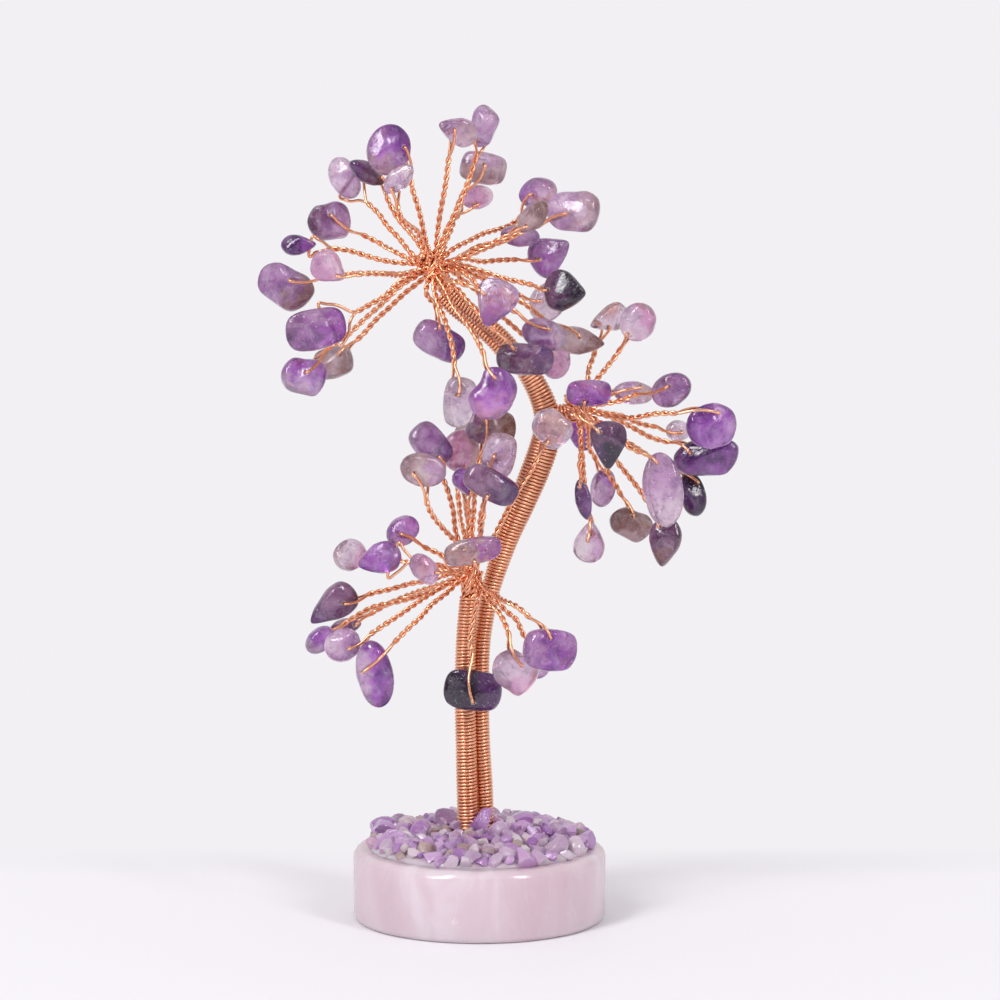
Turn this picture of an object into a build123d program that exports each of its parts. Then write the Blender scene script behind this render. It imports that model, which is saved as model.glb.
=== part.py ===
from build123d import *
from collections import namedtuple
import math
import os

import numpy as np

# A gemstone tree ornament: tumbled stone chips on twisted wire twigs, gathered into wire-wrapped
# stems that stand in a polished stone disc. Millimetres, +Z up, +X to the right of the picture,
# +Y away from the viewer, origin at the middle of the disc's underside.

# The disc and what lies on it
BASE_DIAMETER = 40.0
BASE_HEIGHT = 11.3
BASE_TOP_ROUND = 1.5
BASE_FOOT_ROUND = 0.9
BED_DIAMETER = 35.0
BED_EDGE_HEIGHT = 0.7
BED_CROWN_HEIGHT = 4.6
GRAVEL_SIZE = 2.6
GRAVEL_GAP = 0.3
GRAVEL_SUNK_SHARE = 0.35
GRAVEL_RING_START = 5.0

# The wire. A twig is two wires twisted together, a core is the bundle inside a wrap
WIRE_DIAMETER = 0.4
TWIG_GAP = 0.12
SEAT_CLEARANCE = 0.08
WRAP_CLEARANCE = 0.15
BEND_GAP = 0.3
WRAP_TURNS = 24
CROWN_WRAP_TURNS = 15

# The stones
CHIP_THICKNESS = 3.9
LAYER_GAP = 0.7
HOLE_CLEARANCE = 0.08
LOOP_CLEARANCE = 0.35
LOOP_CORNER = 0.4
LOOP_SHOULDER = 1.0
THROAT_LENGTH = 1.1
SWIVEL_DEG = 10.0

# The knot of gathered wires that each spray grows from
CROWN_KNOT_RADIUS = 2.7
LEFT_KNOT_RADIUS = 2.3
RIGHT_KNOT_RADIUS = 2.2
FAN_LENGTH = 1.6
STEM_ROOM_DEG = 48.0

# The picture that the places are read from, 1000 pixels square. Its span is the real width that
# it covers at the trunk, and the shares are of that span
PICTURE_SPAN = 156.7
PICTURE_PX = 1000
PICTURE_MIDDLE_PX = 500
EYE_DISTANCE_SHARE = 4.148
EYE_HEIGHT_SHARE = 0.957
EYE_SIDE_SHARE = 0.0207
AIM_HEIGHT_SHARE = 0.4244
BASE_TOP_SHARE = 0.0721

# Each knot: the pixel of its middle and its depth in layers
CROWN_KNOT_PX = ((432, 268), 0.0)
LEFT_KNOT_PX = ((471, 571), -0.5)
RIGHT_KNOT_PX = ((579, 411), 0.0)

# Each stem: pixels of its centreline, its depth in layers and its width in pixels with its wrap on
MAIN_STEM_PX = (
    ((485, 832), 0.2, 17), ((484, 790), 0.22, 17), ((481, 740), 0.24, 17), ((480, 690), 0.26, 17),
    ((481, 650), 0.26, 17), ((484, 624), 0.28, 17), ((490, 592), 0.28, 18), ((499, 562), 0.25, 20),
    ((509, 533), 0.15, 23), ((521, 505), 0.05, 26), ((534, 474), 0.0, 28), ((544, 446), 0.0, 28),
    ((548, 424), 0.0, 26), ((544, 404), 0.0, 24), ((536, 386), 0.0, 22), ((524, 366), 0.0, 20),
    ((513, 350), 0.0, 16), ((501, 336), 0.0, 15), ((484, 321), 0.0, 14), ((467, 308), 0.0, 14),
    ((453, 296), 0.0, 13), ((432, 268), 0.0, 13),
)
LEFT_STEM_PX = (
    ((468, 836), -0.2, 19), ((467, 790), -0.22, 20), ((466, 740), -0.24, 20), ((465, 690), -0.26, 20),
    ((466, 640), -0.28, 19), ((468, 605), -0.38, 17), ((471, 571), -0.5, 16),
)
# The thin stem lies along the main stem's lower side: where it starts and ends, and its width
SIDE_STEM_START_PX = (513, 350)
SIDE_STEM_END_PX = (449, 291)
SIDE_STEM_WIDTH_PX = 8
# Where the main stem's lower wrap gives way to its upper one
WRAP_SPLIT_PX = (487, 606)
# The bare fan of wires between the left stem's wrap and its knot
LEFT_FAN_LENGTH = 1.5

# A crumb of gravel: its sections from bottom to top as shares of its size, how far its corners stand
# out, the sizes that follow one another round a ring, and the turn and lean from one to the next
PEBBLE_SECTION_SHARES = ((-.36, .5), (-.1, 1), (.12, .94), (.36, .42))
PEBBLE_HALF_SHARE = 0.36
PEBBLE_STRETCH_SHARES = (1, .86, .95, .8, .98, .9, .83)
PEBBLE_SIZE_SHARES = (1, .88, .94, .8, .97, .84)
PEBBLE_TURN = 67
PEBBLE_LEAN = 9
PEBBLE_SIDES = (5, 6)
PEBBLE_LEANS = (-2, 1, 0, 2, -1)
PEBBLE_COLOURS = ("gravel_violet", "gravel_lilac", "gravel_violet", "gravel_rose", "gravel_lilac")

# How finely curves are worked out
RELAX_ROUNDS = 400
STEM_STEPS = 8
CORE_STEP = 4
OUTLINE_STEPS = 6
GAP_SAMPLES = 12
LEAST_TURN = math.radians(1.5)
ARC_SHARE = 0.45

# Outlines of the tumbled stones, in shares of half the length and half the width
OUTLINE_SHARES = {
    "oval": ((1, 0), (.72, .7), (0, 1), (-.72, .7), (-1, 0), (-.7, -.72), (0, -1), (.72, -.7)),
    "block": ((1, .1), (.84, .82), (0, .97), (-.82, .86), (-1, 0), (-.86, -.8), (0, -1), (.82, -.85)),
    "drop": ((1, 0), (.56, .46), (0, .9), (-.62, .88), (-1, .1), (-.7, -.82), (0, -.95), (.55, -.52)),
    "wedge": ((1, .05), (.5, .46), (-.2, .92), (-.84, .84), (-1, 0), (-.8, -.86), (-.2, -.86), (.5, -.44)),
    "bean": ((1, .15), (.72, .86), (.1, .72), (-.55, .92), (-1, .2), (-.75, -.7), (0, -1), (.76, -.74)),
    "shard": ((1, -.1), (.62, .6), (0, .97), (-.6, .76), (-1, .1), (-.56, -.62), (.05, -.95), (.62, -.7)),
    "lump": ((1, .2), (.68, .82), (.1, .88), (-.5, 1), (-1, .35), (-.82, -.55), (-.15, -.84), (.55, -.98)),
}
# How the outline shrinks from the middle of a stone to its two faces
SECTION_SHARES = ((-.97, .38), (-.76, .79), (-.4, .96), (0, 1), (.4, .95), (.76, .77), (.97, .36))
# How thick each kind of stone is, in shares of the common thickness
THICKNESS_SHARES = {"oval": 1.05, "block": 1.1, "drop": 1, "wedge": 1, "bean": 1.05, "shard": .8, "lump": 1.15}

# One row a stone: name, pixel of its middle, layer of depth, outline, length and width in
# pixels, turn in the picture and yaw about the vertical in degrees, hole's place in shares of half
# the length and half the width, how the wire passes (through the faces or side to side), colour, and
# whether it swivels on its wire
CROWN_STONES_PX = (
    ("crown_stone_01", (457, 131), -0.6, "drop", 42, 29, 160, 12, (.25, 0), "face", "lilac", True),
    ("crown_stone_02", (484, 126), 0.4, "lump", 42, 28, 80, -25, (-.7, .1), "face", "lilac", True),
    ("crown_stone_03", (483, 168), 1.9, "block", 48, 32, -10, 20, (-.15, .2), "face", "smoke", True),
    ("crown_stone_04", (477, 197), 3.2, "oval", 34, 25, 5, 35, (-.4, -.45), "face", "rose", False),
    ("crown_stone_05", (389, 150), -0.9, "oval", 51, 44, 75, 15, (.25, -.55), "face", "violet", True),
    ("crown_stone_06", (367, 173), 0.6, "shard", 43, 22, -28, 25, (.6, .2), "face", "dusk", True),
    ("crown_stone_07", (399, 179), -2.0, "shard", 39, 23, 48, -20, (-.5, -.25), "face", "pale", True),
    ("crown_stone_08", (345, 178), 1.9, "oval", 45, 30, -58, -30, (.3, 0), "side", "lilac", True),
    ("crown_stone_09", (330, 222), 0.9, "lump", 44, 40, 20, 20, (0, .4), "face", "mid", True),
    ("crown_stone_10", (299, 245), 0.1, "drop", 36, 22, 3, 0, (.65, 0), "side", "deep", True),
    ("crown_stone_11", (285, 287), -0.7, "lump", 59, 42, -20, -15, (.2, .5), "face", "mid", True),
    ("crown_stone_12", (329, 268), -2.3, "drop", 38, 33, -36, -10, (.6, 0), "face", "rose", False),
    ("crown_stone_13", (316, 329), -1.4, "block", 59, 40, 12, 10, (.45, 0), "side", "mid", True),
    ("crown_stone_14", (304, 377), -0.5, "lump", 46, 39, 0, 20, (-.1, .3), "face", "violet", True),
    ("crown_stone_15", (334, 362), 0.9, "block", 40, 32, 20, -20, (.6, .3), "face", "smoke", False),
    ("crown_stone_16", (538, 193), 2.2, "oval", 42, 31, 10, -30, (0, -.05), "face", "lilac", True),
    ("crown_stone_17", (533, 217), -1.1, "shard", 40, 26, 50, 15, (-.6, .1), "face", "smoke", False),
    ("crown_stone_18", (520, 236), 1.8, "oval", 40, 22, -5, 10, (-.45, -.1), "face", "mid", False),
    ("crown_stone_19", (574, 212), 0.5, "lump", 54, 43, 10, -15, (-.15, 0), "face", "lilac", True),
    ("crown_stone_20", (551, 254), 2.9, "wedge", 46, 44, 30, 20, (-.7, .2), "face", "mid", True),
    ("crown_stone_21", (565, 291), -0.7, "drop", 45, 43, -5, -25, (-.65, 0), "face", "ink", True),
    ("crown_stone_22", (494, 304), -2.9, "wedge", 49, 44, -113, 10, (-.2, -.65), "face", "lilac", False),
    ("crown_stone_23", (547, 303), 2.6, "oval", 42, 37, 60, 25, (-.15, .65), "face", "pale", False),
    ("crown_stone_24", (545, 335), -0.85, "oval", 48, 32, -20, 10, (0, .45), "face", "mid", False),
    ("crown_stone_25", (581, 341), 0.55, "drop", 51, 29, -8, 15, (-.2, .3), "face", "smoke", True),
    ("crown_stone_26", (525, 359), -2.0, "block", 56, 31, -3, 0, (-.4, .65), "face", "dusk", False),
    ("crown_stone_27", (556, 361), 1.9, "oval", 37, 30, 80, 20, (.3, .55), "face", "rose", False),
    ("crown_stone_28", (439, 341), -0.3, "block", 53, 33, -28, 10, (-.3, .65), "face", "mid", False),
    ("crown_stone_29", (460, 402), -2.2, "block", 49, 33, 85, 20, (.3, .45), "face", "pale", False),
    ("crown_stone_30", (493, 394), -3.4, "bean", 52, 44, 60, 10, (.55, .35), "face", "violet", False),
)
LEFT_STONES_PX = (
    ("left_stone_01", (491, 427), 0.0, "block", 51, 36, -8, 10, (-.35, .45), "face", "umber", False),
    ("left_stone_02", (470, 434), 2.4, "lump", 33, 27, 30, 20, (-.3, -.55), "face", "smoke", False),
    ("left_stone_03", (431, 445), -1.0, "block", 48, 33, -50, 15, (.45, -.2), "face", "mid", True),
    ("left_stone_04", (423, 470), -2.1, "oval", 46, 34, -10, -15, (-.3, -.2), "face", "smoke", True),
    ("left_stone_05", (461, 451), 1.2, "oval", 43, 40, 70, 25, (-.7, -.2), "face", "rose", False),
    ("left_stone_06", (499, 455), -1.2, "block", 44, 33, 80, -10, (.05, .1), "face", "lilac", False),
    ("left_stone_07", (491, 485), -2.4, "block", 56, 30, -28, 5, (0, -.65), "face", "dusk", False),
    ("left_stone_08", (464, 482), -1.0, "drop", 31, 22, -70, 20, (.6, 0), "face", "violet", False),
    ("left_stone_09", (473, 551), -2.7, "block", 56, 26, 12, 0, (0, -.6), "face", "smoke", False),
    ("left_stone_10", (403, 531), -0.5, "oval", 35, 29, 35, 20, (-.35, .2), "face", "violet", True),
    ("left_stone_11", (379, 559), -1.3, "drop", 49, 33, 200, -15, (-.7, 0), "side", "violet", True),
    ("left_stone_12", (350, 555), 1.6, "oval", 35, 33, 0, 30, (.65, -.1), "face", "pale", True),
    ("left_stone_13", (424, 569), -2.6, "oval", 35, 24, -50, 15, (.45, .45), "face", "lilac", False),
    ("left_stone_14", (331, 606), -0.6, "wedge", 56, 37, 215, 15, (-.4, .2), "face", "dusk", True),
    ("left_stone_15", (343, 645), -1.6, "oval", 39, 33, 20, -20, (.45, -.3), "face", "lilac", True),
    ("left_stone_16", (320, 640), 0.4, "oval", 34, 23, 40, 20, (.65, -.1), "face", "violet", False),
    ("left_stone_17", (345, 627), 1.4, "shard", 35, 18, 15, 10, (.55, 0), "face", "dusk", False),
    ("left_stone_18", (375, 674), -2.4, "oval", 67, 37, -80, -10, (-.15, -.5), "face", "violet", True),
    ("left_stone_19", (473, 690), -1.4, "block", 57, 41, -6, 0, (.05, -.5), "face", "ink", True),
    ("left_stone_20", (515, 672), -2.6, "lump", 46, 43, -20, 15, (.05, .4), "face", "pale", False),
    ("left_stone_21", (539, 660), -1.0, "oval", 38, 27, 80, 10, (.5, .45), "face", "lilac", False),
    ("left_stone_22", (550, 650), -3.8, "block", 53, 41, -5, 15, (-.15, .65), "face", "violet", True),
    ("left_stone_23", (552, 429), -1.9, "lump", 41, 37, -30, 10, (0, -.6), "face", "pale", False),
)
RIGHT_STONES_PX = (
    ("right_stone_01", (608, 319), 1.8, "wedge", 42, 30, 200, 15, (.2, .4), "face", "pale", False),
    ("right_stone_02", (638, 322), 0.4, "oval", 40, 36, 60, -15, (-.7, .1), "face", "pale", True),
    ("right_stone_03", (589, 393), -1.4, "block", 44, 26, 0, 10, (-.3, -.55), "face", "violet", False),
    ("right_stone_04", (678, 431), 2.0, "oval", 24, 22, 0, 20, (0, 0), "face", "pale", False),
    ("right_stone_05", (581, 431), 1.7, "oval", 42, 27, -70, 10, (-.65, 0), "face", "violet", False),
    ("right_stone_06", (608, 446), -2.3, "wedge", 49, 39, -90, 0, (-.6, -.45), "face", "ink", True),
    ("right_stone_07", (634, 393), 1.3, "oval", 42, 24, -5, 15, (.2, .55), "face", "lilac", False),
    ("right_stone_08", (671, 390), -0.4, "oval", 42, 33, 28, -10, (.05, .3), "face", "mid", True),
    ("right_stone_09", (712, 426), -0.7, "oval", 53, 46, 0, 15, (.15, .6), "face", "violet", True),
    ("right_stone_10", (707, 458), 0.6, "lump", 66, 39, 12, -10, (-.4, .45), "face", "deep", True),
    ("right_stone_11", (663, 490), -1.4, "oval", 75, 40, -82, 10, (-.75, -.2), "face", "lilac", True),
    ("right_stone_12", (692, 494), 1.7, "oval", 46, 28, -75, 25, (-.5, .35), "face", "ink", False),
    ("right_stone_13", (665, 543), 0.0, "drop", 51, 34, -97, -20, (-.65, -.3), "face", "dusk", True),
    ("right_stone_14", (631, 525), 0.8, "lump", 44, 32, -15, 10, (-.1, .6), "face", "umber", True),
    ("right_stone_15", (603, 488), 1.45, "oval", 40, 25, -100, 20, (-.7, -.15), "face", "lilac", True),
    ("right_stone_16", (583, 500), -0.4, "shard", 42, 18, -75, 0, (-.65, 0), "face", "deep", False),
    ("right_stone_17", (589, 542), 0.6, "drop", 44, 33, 85, -10, (.1, 0), "face", "pale", True),
)

# What follows from the sizes
TWIG_DIAMETER = 2 * WIRE_DIAMETER
LAYER_STEP = CHIP_THICKNESS + LAYER_GAP
PIXEL = PICTURE_SPAN / PICTURE_PX
EYE = np.array((EYE_SIDE_SHARE, -EYE_DISTANCE_SHARE, EYE_HEIGHT_SHARE)) * PICTURE_SPAN
AIM = np.array((EYE_SIDE_SHARE, 0, AIM_HEIGHT_SHARE)) * PICTURE_SPAN
VIEW_LENGTH = np.linalg.norm(AIM - EYE)
FORWARD = (AIM - EYE) / VIEW_LENGTH
RIGHTWARD = np.array((1, 0, 0))
UPWARD = np.cross(RIGHTWARD, FORWARD)

STONE_PARTS = "name middle along across through outline half_sizes hole axis side colour swivels"
Stone = namedtuple("Stone", STONE_PARTS)
Loop = namedtuple("Loop", "throat legs corners hole inward")


def unit(vector):
    return vector / np.linalg.norm(vector)


def picture_point(pixel, layer):
    """The point that the picture shows at a pixel, a number of layers behind the trunk."""
    aside = (pixel[0] - PICTURE_MIDDLE_PX) * PIXEL
    above = (PICTURE_MIDDLE_PX - pixel[1]) * PIXEL
    ray = FORWARD * VIEW_LENGTH + RIGHTWARD * aside + UPWARD * above
    point = EYE + ray * (layer * LAYER_STEP - EYE[1]) / ray[1]
    point[2] += BASE_HEIGHT - BASE_TOP_SHARE * PICTURE_SPAN
    return point


def smooth_chain(rows, steps):
    """A smooth chain of rows that passes through the given ones, each a place and a radius."""
    rows = np.array(rows)
    ends = np.vstack((2 * rows[0] - rows[1], rows, 2 * rows[-1] - rows[-2]))
    chain = []
    for before, here, there, after in zip(ends, ends[1:], ends[2:], ends[3:]):
        for step in range(steps):
            t = step / steps
            slope = (there - before) * t
            bend = (2 * before - 5 * here + 4 * there - after) * t**2
            twist = (3 * here - before - 3 * there + after) * t**3
            chain.append((2 * here + slope + bend + twist) / 2)
    chain.append(rows[-1])
    return np.array(chain)


def stem_chain(stem_px, knot, knot_radius):
    """A stem's centreline and radii from the disc up to just below its knot."""
    rows = [(*picture_point(pixel, layer), width * PIXEL / 2) for pixel, layer, width in stem_px]
    foot = (rows[0][0], rows[0][1], BASE_HEIGHT, rows[0][3])
    chain = smooth_chain([foot] + rows, STEM_STEPS)
    reach = knot_radius + BEND_GAP
    clear = np.linalg.norm(chain[:, :3] - knot, axis=1) > reach
    chain = chain[:np.flatnonzero(clear)[-1] + 1]
    last = chain[-1].copy()
    last[:3] = knot + unit(last[:3] - knot) * reach
    return np.vstack((chain[:-1], last))


def side_stem_chain(main_chain):
    """The thin stem's centreline and radii, laid against the lower side of the main stem."""
    start = picture_point(SIDE_STEM_START_PX, 0)
    end = picture_point(SIDE_STEM_END_PX, 0)
    first = np.argmin(np.linalg.norm(main_chain[:, :3] - start, axis=1))
    last = np.argmin(np.linalg.norm(main_chain[:, :3] - end, axis=1))
    radius = SIDE_STEM_WIDTH_PX * PIXEL / 2
    rows = []
    for index in range(first, last + 1):
        way = unit(main_chain[index + 1, :3] - main_chain[index - 1, :3])
        beside = unit(np.cross(way, (0, 1, 0)))
        if beside[2] > 0:
            beside = -beside
        offset = main_chain[index, 3] + SEAT_CLEARANCE + radius
        rows.append((*(main_chain[index, :3] + beside * offset), radius))
    return np.array(rows)


def place_stone(row):
    """One row of a table, as a stone's place, directions and half sizes."""
    name, pixel, layer, outline, length, width, turn, yaw, hole_shares, way, colour, swivels = row
    turn_angle = math.radians(turn)
    yaw_angle = math.radians(yaw)
    level = np.array((math.cos(yaw_angle), math.sin(yaw_angle), 0))
    upright = np.array((0, 0, 1))
    along = level * math.cos(turn_angle) + upright * math.sin(turn_angle)
    across = upright * math.cos(turn_angle) - level * math.sin(turn_angle)
    through = np.cross(along, across)
    half_sizes = (length * PIXEL / 2, width * PIXEL / 2, CHIP_THICKNESS * THICKNESS_SHARES[outline] / 2)
    middle = picture_point(pixel, layer)
    hole = middle + along * hole_shares[0] * half_sizes[0] + across * hole_shares[1] * half_sizes[1]
    return Stone(name, middle, along, across, through, OUTLINE_SHARES[outline], half_sizes, hole,
                 through, way == "side", colour, swivels)


def skin_points(stone):
    """Points all over a stone's surface."""
    loop = np.array(stone.outline + stone.outline[:1])
    ring = []
    for here, there in zip(loop, loop[1:]):
        for step in range(OUTLINE_STEPS):
            ring.append(here + (there - here) * step / OUTLINE_STEPS)
    points = []
    for height, scale in SECTION_SHARES:
        for place in ring:
            points.append(stone.middle + stone.along * place[0] * scale * stone.half_sizes[0]
                          + stone.across * place[1] * scale * stone.half_sizes[1]
                          + stone.through * height * stone.half_sizes[2])
    return np.array(points)


def place_loop(stone, knot):
    """The wire loop that passes through a stone's hole and closes on the side of its knot."""
    reach_points = skin_points(stone) - stone.hole
    toward = knot - stone.hole
    inward = unit(toward - stone.through * (toward @ stone.through))
    axis = stone.through
    if stone.side:
        axis = np.cross(stone.through, inward)
    reach = max_reach(reach_points, inward, axis)
    side_reach = np.abs(reach_points @ axis).max() + LOOP_CLEARANCE + LOOP_CORNER
    shoulder = stone.hole + inward * reach
    throat = shoulder + inward * THROAT_LENGTH
    legs = (shoulder + axis * side_reach, shoulder - axis * side_reach)
    corners = (stone.hole + axis * side_reach, stone.hole - axis * side_reach)
    return stone._replace(axis=axis), Loop(throat, legs, corners, stone.hole, inward)


def max_reach(points, inward, axis):
    """How far a stone reaches towards its knot within the wire's width, wherever it swivels."""
    aside = np.cross(axis, inward)
    strip = WIRE_DIAMETER + LOOP_CLEARANCE
    reach = 0
    for swivel in np.radians((-SWIVEL_DEG, -SWIVEL_DEG / 2, 0, SWIVEL_DEG / 2, SWIVEL_DEG)):
        forward = points @ inward * math.cos(swivel) - points @ aside * math.sin(swivel)
        sideways = points @ inward * math.sin(swivel) + points @ aside * math.cos(swivel)
        reach = max(reach, forward[np.abs(sideways) < strip].max())
    return reach + LOOP_CLEARANCE + WIRE_DIAMETER / 2


def spread_ways(ways, stem_ways, room):
    """Turns the twigs' first directions apart until none is within room of another or a stem."""
    ways = np.array([unit(way) for way in ways])
    for _ in range(RELAX_ROUNDS):
        pushes = np.zeros_like(ways)
        for index, way in enumerate(ways):
            apart = way - ways
            gap = np.linalg.norm(apart, axis=1)
            near = (gap < room) & (gap > 0)
            pushes[index] += (apart[near].T * (room - gap[near]) / gap[near]).T.sum(axis=0) / 2
            for stem_way in stem_ways:
                stem_apart = way - stem_way
                stem_gap = np.linalg.norm(stem_apart)
                stem_room = 2 * math.sin(math.radians(STEM_ROOM_DEG) / 2)
                if stem_gap < stem_room:
                    pushes[index] += stem_apart * (stem_room - stem_gap) / stem_gap / 2
        ways = np.array([unit(way + push) for way, push in zip(ways, pushes)])
    return ways


def twig_routes(loops, knot, knot_radius, stem_ways):
    """The points of each twig, from its root on the knot to the throat of its loop."""
    room = (TWIG_DIAMETER + TWIG_GAP) / knot_radius
    ways = spread_ways([loop.throat - knot for loop in loops], stem_ways, room)
    routes = []
    for loop, way in zip(loops, ways):
        root = knot + way * (knot_radius + SEAT_CLEARANCE)
        distance = np.linalg.norm(loop.throat - root)
        fan = root + way * min(FAN_LENGTH, distance / 3)
        approach = loop.throat + loop.inward * min(2 * FAN_LENGTH, distance / 3)
        routes.append((root, fan, approach, loop.throat))
    return routes


class Spray:
    """A knot with its stones, their loops and the twigs between."""

    def __init__(self, rows, knot_px, knot_radius, stem_places):
        self.knot = picture_point(*knot_px)
        self.knot_radius = knot_radius
        placed = [place_loop(place_stone(row), self.knot) for row in rows]
        self.stones = [stone for stone, _ in placed]
        self.loops = [loop for _, loop in placed]
        stem_ways = [unit(place - self.knot) for place in stem_places]
        self.routes = twig_routes(self.loops, self.knot, knot_radius, stem_ways)


CROWN_KNOT = picture_point(*CROWN_KNOT_PX)
LEFT_KNOT = picture_point(*LEFT_KNOT_PX)
RIGHT_KNOT = picture_point(*RIGHT_KNOT_PX)
MAIN_STEM = stem_chain(MAIN_STEM_PX, CROWN_KNOT, CROWN_KNOT_RADIUS)
LEFT_STEM = stem_chain(LEFT_STEM_PX, LEFT_KNOT, LEFT_KNOT_RADIUS)
SIDE_STEM = side_stem_chain(MAIN_STEM)
NEAR_RIGHT_KNOT = MAIN_STEM[np.argmin(np.linalg.norm(MAIN_STEM[:, :3] - RIGHT_KNOT, axis=1)), :3]
NEAR_LEFT_KNOT = MAIN_STEM[np.argmin(np.linalg.norm(MAIN_STEM[:, :3] - LEFT_KNOT, axis=1)), :3]
CROWN = Spray(CROWN_STONES_PX, CROWN_KNOT_PX, CROWN_KNOT_RADIUS, (MAIN_STEM[-1, :3], SIDE_STEM[-1, :3]))
LEFT_SPRAY = Spray(LEFT_STONES_PX, LEFT_KNOT_PX, LEFT_KNOT_RADIUS, (LEFT_STEM[-1, :3], NEAR_LEFT_KNOT))
RIGHT_SPRAY = Spray(RIGHT_STONES_PX, RIGHT_KNOT_PX, RIGHT_KNOT_RADIUS, (NEAR_RIGHT_KNOT,))


def base_disc():
    """The polished disc, flat underneath, with rounded rims."""
    disc = Pos(0, 0, BASE_HEIGHT / 2) * Cylinder(BASE_DIAMETER / 2, BASE_HEIGHT)
    rims = disc.edges().filter_by(GeomType.CIRCLE).sort_by(Axis.Z)
    disc = fillet(rims[0], BASE_FOOT_ROUND)
    rims = disc.edges().filter_by(GeomType.CIRCLE).sort_by(Axis.Z)
    return fillet(rims[-1], BASE_TOP_ROUND)


def bed_height(radius):
    """How high the resin's round top stands above the disc, this far from the middle."""
    rise = BED_CROWN_HEIGHT - BED_EDGE_HEIGHT
    ball_radius = ((BED_DIAMETER / 2)**2 + rise**2) / (2 * rise)
    return BED_CROWN_HEIGHT - ball_radius + math.sqrt(ball_radius**2 - radius**2)


def resin_bed():
    """The clear resin poured over the disc, highest round the stems, which stand in its holes."""
    rim = BED_DIAMETER / 2
    foot = Line((0, BASE_HEIGHT), (rim, BASE_HEIGHT))
    edge = Line((rim, BASE_HEIGHT), (rim, BASE_HEIGHT + BED_EDGE_HEIGHT))
    crown = ThreePointArc((rim, BASE_HEIGHT + BED_EDGE_HEIGHT),
                          (rim / 2, BASE_HEIGHT + bed_height(rim / 2)),
                          (0, BASE_HEIGHT + BED_CROWN_HEIGHT))
    middle = Line((0, BASE_HEIGHT + BED_CROWN_HEIGHT), (0, BASE_HEIGHT))
    bed = revolve(Plane.XZ * make_face(Wire([foot, edge, crown, middle])), Axis.Z)
    for chain in (MAIN_STEM, LEFT_STEM):
        hole_radius = core_radius(chain[0, 3]) + SEAT_CLEARANCE
        bed -= Pos(chain[0, 0], chain[0, 1], BASE_HEIGHT) * Cylinder(hole_radius, 3 * BED_CROWN_HEIGHT)
    return bed


def pebble(size, sides, turn, lean):
    """A faceted crumb of stone round the origin, as wide as size."""
    corners = []
    for corner in range(sides):
        angle = math.radians(turn) + 2 * math.pi * corner / sides
        stretch = PEBBLE_STRETCH_SHARES[(corner + int(turn)) % len(PEBBLE_STRETCH_SHARES)]
        corners.append((size / 2 * stretch * math.cos(angle), size / 2 * stretch * math.sin(angle)))
    faces = []
    for height_share, scale_share in PEBBLE_SECTION_SHARES:
        ring = [(x * scale_share, y * scale_share) for x, y in corners]
        faces.append(Pos(0, 0, size * height_share) * make_face(Polyline(*ring, close=True)))
    return Rot(lean, lean / 2, 0) * loft(faces, ruled=True)


def gravel():
    """The crumbs of stone set in the resin in rings, shared out among three colours."""
    colours = {name: [] for name in PEBBLE_COLOURS}
    step = GRAVEL_SIZE + GRAVEL_GAP
    rings = int((BED_DIAMETER / 2 - GRAVEL_SIZE / 2 - GRAVEL_RING_START) / step) + 1
    count = 0
    for ring in range(rings):
        radius = GRAVEL_RING_START + ring * step
        places = int(2 * math.pi * radius / step)
        for place in range(places):
            angle = 2 * math.pi * (place + ring / rings) / places
            size = GRAVEL_SIZE * PEBBLE_SIZE_SHARES[count % len(PEBBLE_SIZE_SHARES)]
            rise = BASE_HEIGHT + bed_height(radius) + size * (PEBBLE_HALF_SHARE - GRAVEL_SUNK_SHARE)
            lean = PEBBLE_LEAN * PEBBLE_LEANS[count % len(PEBBLE_LEANS)]
            crumb = pebble(size, PEBBLE_SIDES[count % len(PEBBLE_SIDES)], PEBBLE_TURN * count, lean)
            where = Pos(radius * math.cos(angle), radius * math.sin(angle), rise)
            colours[PEBBLE_COLOURS[count % len(PEBBLE_COLOURS)]].append(where * crumb)
            count += 1
    return colours


def core_radius(wrapped_radius):
    """The radius of the bundle of wires inside a wrap of this radius."""
    return wrapped_radius - WIRE_DIAMETER - WRAP_CLEARANCE


def stem_core(chain, radius_of):
    """A bundle of wires along a stem's centreline."""
    sections = []
    for index in np.linspace(0, len(chain) - 1, len(chain) // CORE_STEP + 1).round().astype(int):
        before = chain[max(index - 1, 0), :3]
        after = chain[min(index + 1, len(chain) - 1), :3]
        way = unit(after - before)
        if index == 0:
            way = np.array((0, 0, 1))
        plane = Plane(origin=tuple(chain[index, :3]), x_dir=tuple(np.cross((0, 1, 0), way)), z_dir=tuple(way))
        sections.append(plane * Circle(radius_of(chain[index, 3])))
    return loft(sections)


def helix_point(chain, lengths, length, angle):
    """A point of the wrap: this far up the stem, turned this far round it."""
    centre = np.array([np.interp(length, lengths, chain[:, axis]) for axis in range(3)])
    radius = np.interp(length, lengths, chain[:, 3]) - WIRE_DIAMETER / 2
    ahead = np.array([np.interp(length + WIRE_DIAMETER, lengths, chain[:, axis]) for axis in range(3)])
    behind = np.array([np.interp(length - WIRE_DIAMETER, lengths, chain[:, axis]) for axis in range(3)])
    way = unit(ahead - behind)
    side = unit(np.cross((0, 1, 0), way))
    front = np.cross(way, side)
    return centre + radius * (side * math.cos(angle) + front * math.sin(angle))


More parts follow.
